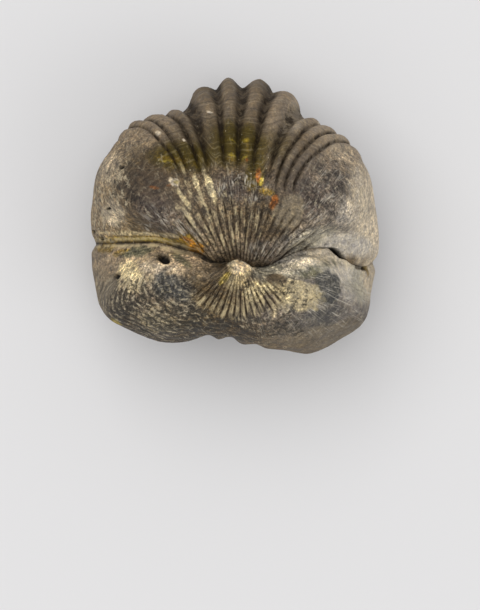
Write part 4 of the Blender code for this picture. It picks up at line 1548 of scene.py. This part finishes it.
@dataclass
class Valve:
    """One valve: its dense outer surface, the face that closes it, and its finish."""

    name: str
    node: str
    slot: str
    side: Side
    ground: Colour
    patches: Sequence[Patch]
    form: ShellForm
    relief: Relief
    opening: OpenSeam
    pits: Sequence[Pit] = PITS
    rib_columns: int = 15
    flank_columns: int = 108
    rows: int = 222
    seam_gap: float = 0.03
    inner_gap: float = 0.10
    hinge_gap: float = 0.03
    hinge_reach: float = 1.2
    middle_y: float = 0.3
    middle_drop: float = 8.5
    ring_shares: tuple[float, ...] = (0.93, 0.68, 0.35)

    def __post_init__(self) -> None:
        """Works out what the methods share."""
        self.fit = self.form.outline_fit()
        (first, left), (last, right) = self.form.grooves[0], self.form.grooves[-1]
        ribbed = np.linspace(first, last, (last - first) * self.rib_columns + 1)
        inner = np.interp(ribbed, *zip(*self.form.grooves))
        away = np.linspace(0, 1, self.flank_columns + 1)[1:]
        outer_left = left - (self.form.last_share + left) * away
        outer_right = right + (self.form.last_share - right) * away
        self.front = np.concatenate([outer_left[::-1], inner, outer_right])
        self.number = np.concatenate([(first + (outer_left - left) / 0.05)[::-1], ribbed,
                                      last + (outer_right - right) / 0.05])
        self.pole = self.form.pages[-1][0] if self.side is Side.BRACHIAL else self.form.pages[0][0]

    def share_grid(self, angles: np.ndarray) -> np.ndarray:
        """Share v of every grid point; angles is rows by columns."""
        return self.form.share_of(self.front[None, :], angles)

    def edge(self) -> tuple[np.ndarray, np.ndarray]:
        """Commissure: this valve's page angles there, and the line's points."""
        v = self.share_grid(np.zeros((1, len(self.front))))[0]
        angle = self.form.edge_angle(self.number, v)
        for _ in range(2):
            v = self.share_grid(angle[None, :])[0]
        line = self.form.body(angle, v, self.fit)
        step = np.gradient(line, axis=0)
        level = np.hypot(step[:, 0], step[:, 2]) / np.maximum(np.linalg.norm(step, axis=1), 1e-6)
        reach = np.linalg.norm((line - [0, 0, self.form.hinge_z])[:, 1:], axis=1)
        gape = self.opening.width(line, self.form.hinge_z)
        gap = self.seam_gap / 2 + gape * self.opening.part(self.side)
        turn = np.degrees(gap / np.maximum(reach, 0.9) / np.maximum(level, 0.3))
        return angle + self.side.value * turn, line

    def row_shares(self, edge: np.ndarray) -> np.ndarray:
        """Shares from the edge to the umbo that space the rows evenly over the surface.

        Args:
            edge: page angles of the commissure.

        Returns:
            One share for each row.
        """
        fine = np.linspace(0, 0.992, 400)
        angles = edge[None, ::6] + (self.pole - edge[None, ::6]) * fine[:, None]
        v = self.form.share_of(self.front[None, ::6], angles)
        points = self.form.body(angles, v, self.fit)
        step = np.linalg.norm(np.diff(points, axis=0), axis=-1)
        length = np.concatenate([[0.0], np.cumsum(np.percentile(step, 80, axis=1))])
        return np.interp(np.linspace(0, length[-1], self.rows), length, fine)

    def parted(self, points: np.ndarray) -> np.ndarray:
        """Points with the two valves drawn a little apart round the hinge.

        Args:
            points: points on this valve's side.

        Returns:
            The moved points.
        """
        root = np.linalg.norm(points - [0.0, 0.0, self.form.hinge_z], axis=-1)
        away = self.side.value * self.hinge_gap * np.exp(-((root / self.hinge_reach) ** 2))
        return points + np.stack([0 * away, away, 0 * away], axis=-1)

    def surface(self) -> dict[str, np.ndarray]:
        """Points of the outside with everything the finish needs to know about them."""
        edge, _ = self.edge()
        shares = self.row_shares(edge)
        angles = edge[None, :] + (self.pole - edge[None, :]) * shares[:, None]
        v = self.share_grid(angles)
        smooth = self.form.body(angles, v, self.fit)
        normal = self.form.outward(angles, v, self.fit)
        from_edge = np.linalg.norm(smooth - smooth[:1], axis=-1)
        root = np.linalg.norm(smooth - [0.0, 0.0, self.form.hinge_z], axis=-1)
        number = np.repeat(self.number[None, :], self.rows, axis=0)
        number = number + 0.045 * noise(np.stack([number * 0.8, shares[:, None] * 14 + 0 * v,
                                                  0 * v], axis=-1), 1.0, 5)
        lift, crest, coarse, fine = self.relief.height(
            self.form, self.side, angles, v, number, from_edge, smooth)
        seen = ramp(normal[..., 2], -0.25, 0.10)
        pitted = np.zeros_like(lift)
        # Painted shade along the seam between the valves, stronger on the left than on the right
        # and broken up by noise; the pits are added to it below.
        broken = 0.55 + 0.45 * ramp(noise(smooth, 0.8, 31), -0.5, 0.3)
        x = smooth[..., 0]
        shown = 0.60 - 0.25 * ramp(x, -0.5, 1.0) - 0.25 * ramp(x, 3.0, 4.5)
        hollow_shade = shown * broken * np.exp(-((from_edge / 0.11) ** 2)) * seen
        for pit in self.pits:
            share = pit.share(smooth) * seen
            pitted = pitted + pit.depth * share
            hollow_shade = np.maximum(hollow_shade, share)
        points = smooth + normal * (lift - pitted)[..., None]
        growth = np.repeat(shares[:, None] * 18.0, v.shape[1], axis=1)
        return {
            "points": points, "smooth": smooth, "angle": angles, "v": v, "number": number,
            "growth": growth, "crest": crest, "coarse": coarse, "fine": fine,
            "from_edge": from_edge, "root": root, "seen": seen, "hollow_shade": hollow_shade,
        }

    def masks(self, s: dict[str, np.ndarray]) -> dict[str, np.ndarray]:
        """Named masks and colours of the outside, for the finish.

        Args:
            s: the result of surface.

        Returns:
            One array for each attribute of the mesh.
        """
        here = s["smooth"]
        seen = s["seen"]
        off = self.form.off_middle(s["angle"], s["v"])
        still = np.maximum(s["coarse"], 0.9 * covered(SMOOTH_PLACES, here, seen))
        colour = painted(self.ground, self.patches, here, seen)
        near = np.exp(-((s["from_edge"] / 1.0) ** 2))
        root = s["root"]
        turn, away = FANS[self.side].rays(self.side, here)
        masks = {
            "ground": colour,
            "place": np.stack([s["number"], s["growth"], off * 20], axis=-1),
            "ray": np.stack([turn / 6.0, away, here[..., 2]], axis=-1),
            "crest": s["crest"],
            "hollow_shade": np.clip(s["hollow_shade"] * 1.25, 0, 1),
            "wear": ramp(here[..., 2], 0.35, 1.4),
            "catch": near * ramp(root, 1.0, 3.0) * 0.5,
            "calm": still,
            "salt": 1 - 0.65 * still,
            "lip": np.exp(-(((s["from_edge"] - 0.22) / 0.13) ** 2)) * ramp(-here[..., 0], 2.0, 3.5),
        }
        masks.update(self.side_masks(s, here, seen))
        return {name: np.clip(value, 0, 1) if value.ndim == 2 else value
                for name, value in masks.items()}

    def side_masks(self, s: dict[str, np.ndarray], here: np.ndarray,
                   seen: np.ndarray) -> dict[str, np.ndarray]:
        """The masks that differ from valve to valve.

        Args:
            s: the result of surface.
            here: points on the smooth body.
            seen: 1 where a point faces up, 0 where it faces down.

        Returns:
            One array for each attribute.
        """
        x, y = here[..., 0], here[..., 1]
        fine, coarse = s["fine"], s["coarse"]
        hair = covered(SCRATCHED[self.side], here, seen)
        if self.side is Side.BRACHIAL:
            cream = covered(CREAM_FAN, here, seen)
            mottle = covered(PALE_FLANKS, here, seen)
            return {
                "film": (0.08 + 0.22 * cream + 0.14 * fine * seen) * (1 - coarse),
                # Where painted shade lies in the grooves between the ribs.
                "grooved": np.clip(fine * 1.3, 0, 0.9) + 1.2 * coarse,
                "hair": hair,
                "mottle": (0.04 + 0.36 * mottle) * (1 - coarse),
                "spots": 0.12 + 0.20 * mottle + 0.22 * fine,
                "lines": (0.35 + 0.4 * coarse) * (1 - 0.8 * fine),
                "bands": 0.15 * (1 - fine) * (1 - coarse),
            }
        right = ramp(x, 1.5, 4.0)
        lobe = covered(BEADED_LOBE, here, seen)
        patch = covered(CREAM_LOBE, here, seen)
        crumbly = covered(CRUMBLY_LOBE, here, seen)
        return {
            "film": 0.06 + 0.55 * fine * ramp(-y, 1.4, 3.2) - 0.05 * right,
            # Where painted shade lies in the grooves between the ribs.
            "grooved": np.clip(fine * 1.5, 0, 1) * ramp(-y, 1.0, 2.2) + 0.6 * coarse,
            "hair": hair,
            "mottle": 0.04 + 0.16 * lobe + 0.25 * patch + 0.20 * crumbly,
            "spots": 0.15 + 0.22 * patch + 0.30 * lobe + 0.30 * crumbly,
            "lines": 0.45 + 0.45 * lobe - 0.15 * right,
            "bands": (0.25 + 0.75 * lobe - 0.15 * right) * (1 - fine) * seen,
        }

    def rings(self) -> list[np.ndarray]:
        """Rings of the face that closes the valve, from its edge inwards."""
        _, line = self.edge()
        gape = np.concatenate([[0.0], self.opening.width(line, self.form.hinge_z)])
        line = np.concatenate([self.form.body(np.zeros(1), np.ones(1), self.fit), line])
        middle = self.middle()
        part = self.opening.part(self.side)
        made = []
        for share in self.ring_shares:
            ring = middle + (line - middle) * share
            ring[:, 1] = middle[1] + (line[:, 1] - middle[1]) * share ** 3
            ring[:, 1] += self.side.value * (self.inner_gap / 2 + gape * part * share ** 2)
            made.append(ring)
        return made

    def middle(self) -> np.ndarray:
        """Centre of the face between the valves."""
        return np.array([0.0, self.middle_y, self.form.hinge_z - self.middle_drop])

    def mesh(self) -> bpy.types.Mesh:
        """The closed valve with its attributes, in the frame's metres."""
        s = self.surface()
        masks = self.masks(s)
        seam = self.form.body(s["angle"][:, :1], np.ones((self.rows, 1)), self.fit)
        outer = self.parted(np.concatenate([seam, s["points"]], axis=1))
        rings = self.rings()
        tip = self.parted(self.form.body(np.array([float(self.pole)]), np.array([0.0]), self.fit))
        inner = self.middle() + [0.0, self.side.value * self.inner_gap / 2, 0.0]
        layers = [*outer, *rings]
        places = np.concatenate([np.concatenate(layers), tip, inner[None, :]])
        places[:, 2] = np.maximum(places[:, 2] - self.form.worn, 0.0)
        places[:, :2] += HINGE_POINT
        faces = self.faces(outer.shape[1], len(rings))
        mesh = bpy.data.meshes.new(self.name)
        mesh.from_pydata((places * MM).tolist(), [], faces)
        for name, value in masks.items():
            self.attach(mesh, name, value, len(rings) * outer.shape[1])
        mesh.update()
        return smoothed(mesh)

    def faces(self, across: int, ring_count: int) -> list[tuple[int, ...]]:
        """Quads and triangles of the closed valve, facing outwards.

        Args:
            across: how many vertices one row has.
            ring_count: how many inner rings there are.

        Returns:
            The vertex numbers of each face.
        """
        def at(row: int, column: int) -> int:
            """Number of the vertex at one place of the grid, which closes on itself."""
            return row * across + column % across

        order = [self.rows + k for k in range(ring_count)][::-1] + list(range(self.rows))
        made: list[tuple[int, ...]] = []
        for low, high in zip(order[:-1], order[1:]):
            made += [(at(low, c), at(low, c + 1), at(high, c + 1), at(high, c))
                     for c in range(across)]
        tip = (self.rows + ring_count) * across
        top, bottom = order[-1], order[0]
        made += [(at(top, c), at(top, c + 1), tip) for c in range(across)]
        made += [(at(bottom, c + 1), at(bottom, c), tip + 1) for c in range(across)]
        if self.side is Side.PEDICLE:
            made = [face[::-1] for face in made]
        return made

    def attach(self, mesh: bpy.types.Mesh, name: str, value: np.ndarray, extra: int) -> None:
        """Stores one array as an attribute of the mesh.

        Args:
            mesh: the valve's mesh.
            name: the attribute's name.
            value: rows by columns, or rows by columns by 3.
            extra: how many vertices the inner rings have.
        """
        value = np.concatenate([value[:, :1], value], axis=1)
        # The face that closes the valve gets a near-black ground and almost full painted shade.
        inside = {"hollow_shade": 0.9, "ground": 0.05, "crest": 1.0}.get(name, 0.0)
        flat = value.reshape((-1, *value.shape[2:]))
        filler = np.full((extra + 2, *flat.shape[1:]), inside)
        filler[extra] = flat[-1]
        flat = np.concatenate([flat, filler])
        if flat.ndim == 1:
            made = mesh.attributes.new(name, "FLOAT", "POINT")
            made.data.foreach_set("value", flat.astype(np.float32))
        elif name == "ground":
            made = mesh.attributes.new(name, "FLOAT_COLOR", "POINT")
            flat = np.concatenate([flat, np.ones((len(flat), 1))], axis=1)
            made.data.foreach_set("color", flat.astype(np.float32).ravel())
        else:
            made = mesh.attributes.new(name, "FLOAT_VECTOR", "POINT")
            made.data.foreach_set("vector", flat.astype(np.float32).ravel())

    def build(self, weathering: MeshTree, material: bpy.types.Material) -> bpy.types.Object:
        """Makes the valve's piece, weathered and finished.

        Args:
            weathering: the tree that roughens the surface.
            material: the valve's finish.

        Returns:
            The piece, joined to the frame.
        """
        valve = put(self.name, self.mesh())
        valve.data = weathering.run(valve, {
            "Lump Size": 1.3, "Lump Depth": self.relief.lumps, "Grain Size": 0.35,
            "Grain Depth": 0.030, "Growth Pitch": 0.42, "Growth Depth": self.relief.growth,
            "Seed": 3.0 * self.side.value, "Material": material})
        settle(valve.data)
        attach(valve, "root")
        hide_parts(self.node)
        return valve


# ------------------------------------------------------------------ loose grains
@dataclass(frozen=True)
class CaughtGrains:
    """Rock grains in the seam and grooves of one valve."""

    name: str
    slot: str
    seed: int
    radius: float = 0.055
    density: float = 2.0

    def build(self, tree: MeshTree, valve: bpy.types.Object,
              material: bpy.types.Material) -> bpy.types.Object:
        """Makes the grains' piece.

        Args:
            tree: the tree that scatters them.
            valve: the valve they lie on.
            material: their finish.

        Returns:
            The piece, joined to the frame.
        """
        source = put(self.name + "_source", valve.data)
        mesh = tree.run(source, {"Grain Radius": self.radius, "Grains per mm2": self.density,
                                 "Seed": self.seed, "Material": material})
        bpy.data.objects.remove(source)
        settle(mesh)
        grains = put(self.name, smoothed(mesh))
        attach(grains, "root")
        return grains


# ------------------------------------------------------------------ studio
@dataclass(frozen=True)
class Studio:
    """Pale floor, soft light and the camera, which looks straight down."""

    frame_height: float = 44.67
    distance: float = 450.0
    target: tuple[float, float, float] = (0.402, -6.457, 8.7)
    floor_grey: Colour = (0.665, 0.66, 0.665)
    sky: float = 0.72
    lamp_power: float = 1.3
    fill_share: float = 0.25
    sensor: float = 36.0
    floor_reach: float = 0.6
    floor_drop: float = 0.00002

    def build(self) -> None:
        """Makes the floor, the light and the camera."""
        self.floor()
        self.light("soft_box", (-0.09, 0.10, 0.50), 0.42, self.lamp_power)
        self.light("fill", (0.30, -0.20, 0.40), 0.30, self.lamp_power * self.fill_share)
        world = bpy.data.worlds.new("studio")
        world.use_nodes = True
        background = world.node_tree.nodes["Background"]
        background.inputs[0].default_value = (1.0, 1.0, 1.0, 1.0)
        background.inputs[1].default_value = self.sky
        bpy.context.scene.world = world
        bpy.context.scene.view_settings.view_transform = "Standard"
        self.camera()

    def floor(self) -> None:
        """Makes the plain floor."""
        mesh = bpy.data.meshes.new("floor")
        reach = self.floor_reach
        corners = [(x * reach, y * reach, -self.floor_drop)
                   for x, y in ((-1, -1), (1, -1), (1, 1), (-1, 1))]
        mesh.from_pydata(corners, [], [(0, 1, 2, 3)])
        material = bpy.data.materials.new("plain floor")
        material.use_nodes = True
        shader = material.node_tree.nodes["Principled BSDF"]
        shader.inputs["Base Color"].default_value = (*self.floor_grey, 1.0)
        shader.inputs["Roughness"].default_value = 0.9
        mesh.materials.append(material)
        floor = put("floor", mesh)

    @staticmethod
    def light(name: str, place: tuple[float, float, float], size: float, power: float) -> None:
        """Makes one square soft light that faces the fossil.

        Args:
            name: the light's name.
            place: where it stands, in metres.
            size: its side, in metres.
            power: its power, in watts.
        """
        data = bpy.data.lights.new(name, "AREA")
        data.size = size
        data.energy = power
        lamp = put(name, data)
        lamp.location = place
        lamp.rotation_euler = (-Vector(place)).to_track_quat("-Z", "Y").to_euler()

    def camera(self) -> None:
        """Makes the camera."""
        data = bpy.data.cameras.new("camera")
        data.sensor_width = self.sensor
        data.lens = self.sensor * self.distance / self.frame_height
        data.clip_start = 0.01
        data.clip_end = 10.0
        camera = put("camera", data)
        x, y, z = self.target
        camera.matrix_world = Matrix.Translation((x * MM, y * MM, (z + self.distance) * MM))
        bpy.context.scene.camera = camera


def main() -> None:
    """Builds the fossil and its studio."""
    logging.basicConfig(level=logging.INFO, format="%(name)s: %(message)s")
    for old in list(bpy.data.objects):
        bpy.data.objects.remove(old, do_unlink=True)
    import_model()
    Studio().build()
    effects = ShellEffects.build()
    form, relief, opening = ShellForm(), Relief(), OpenSeam()
    brachial = Valve("brachial_shell", "brachial_valve", "brachial_shell", Side.BRACHIAL,
                     Pigment.BROWN.value, BRACHIAL_PATCHES, form, relief, opening)
    pedicle = Valve("pedicle_shell", "pedicle_valve", "pedicle_shell", Side.PEDICLE,
                    Pigment.BROWN.value, PEDICLE_PATCHES, form, relief, opening)
    weathering, scatter = weathering_tree(), grain_tree()
    grain_material = GrainFinish().build()
    for valve, finish, seed in ((brachial, ShellFinish("brachial shell"), 4),
                                (pedicle, ShellFinish("pedicle shell"), 9)):
        shell = valve.build(weathering, finish.build(effects))
        LOG.info("%s: %d faces", shell.name, len(shell.data.polygons))
        grains = CaughtGrains(valve.side.name.lower() + "_grains", valve.slot, seed)
        piece = grains.build(scatter, shell, grain_material)
        LOG.info("%s: %d faces", piece.name, len(piece.data.polygons))


if __name__ == "__main__":
    main()
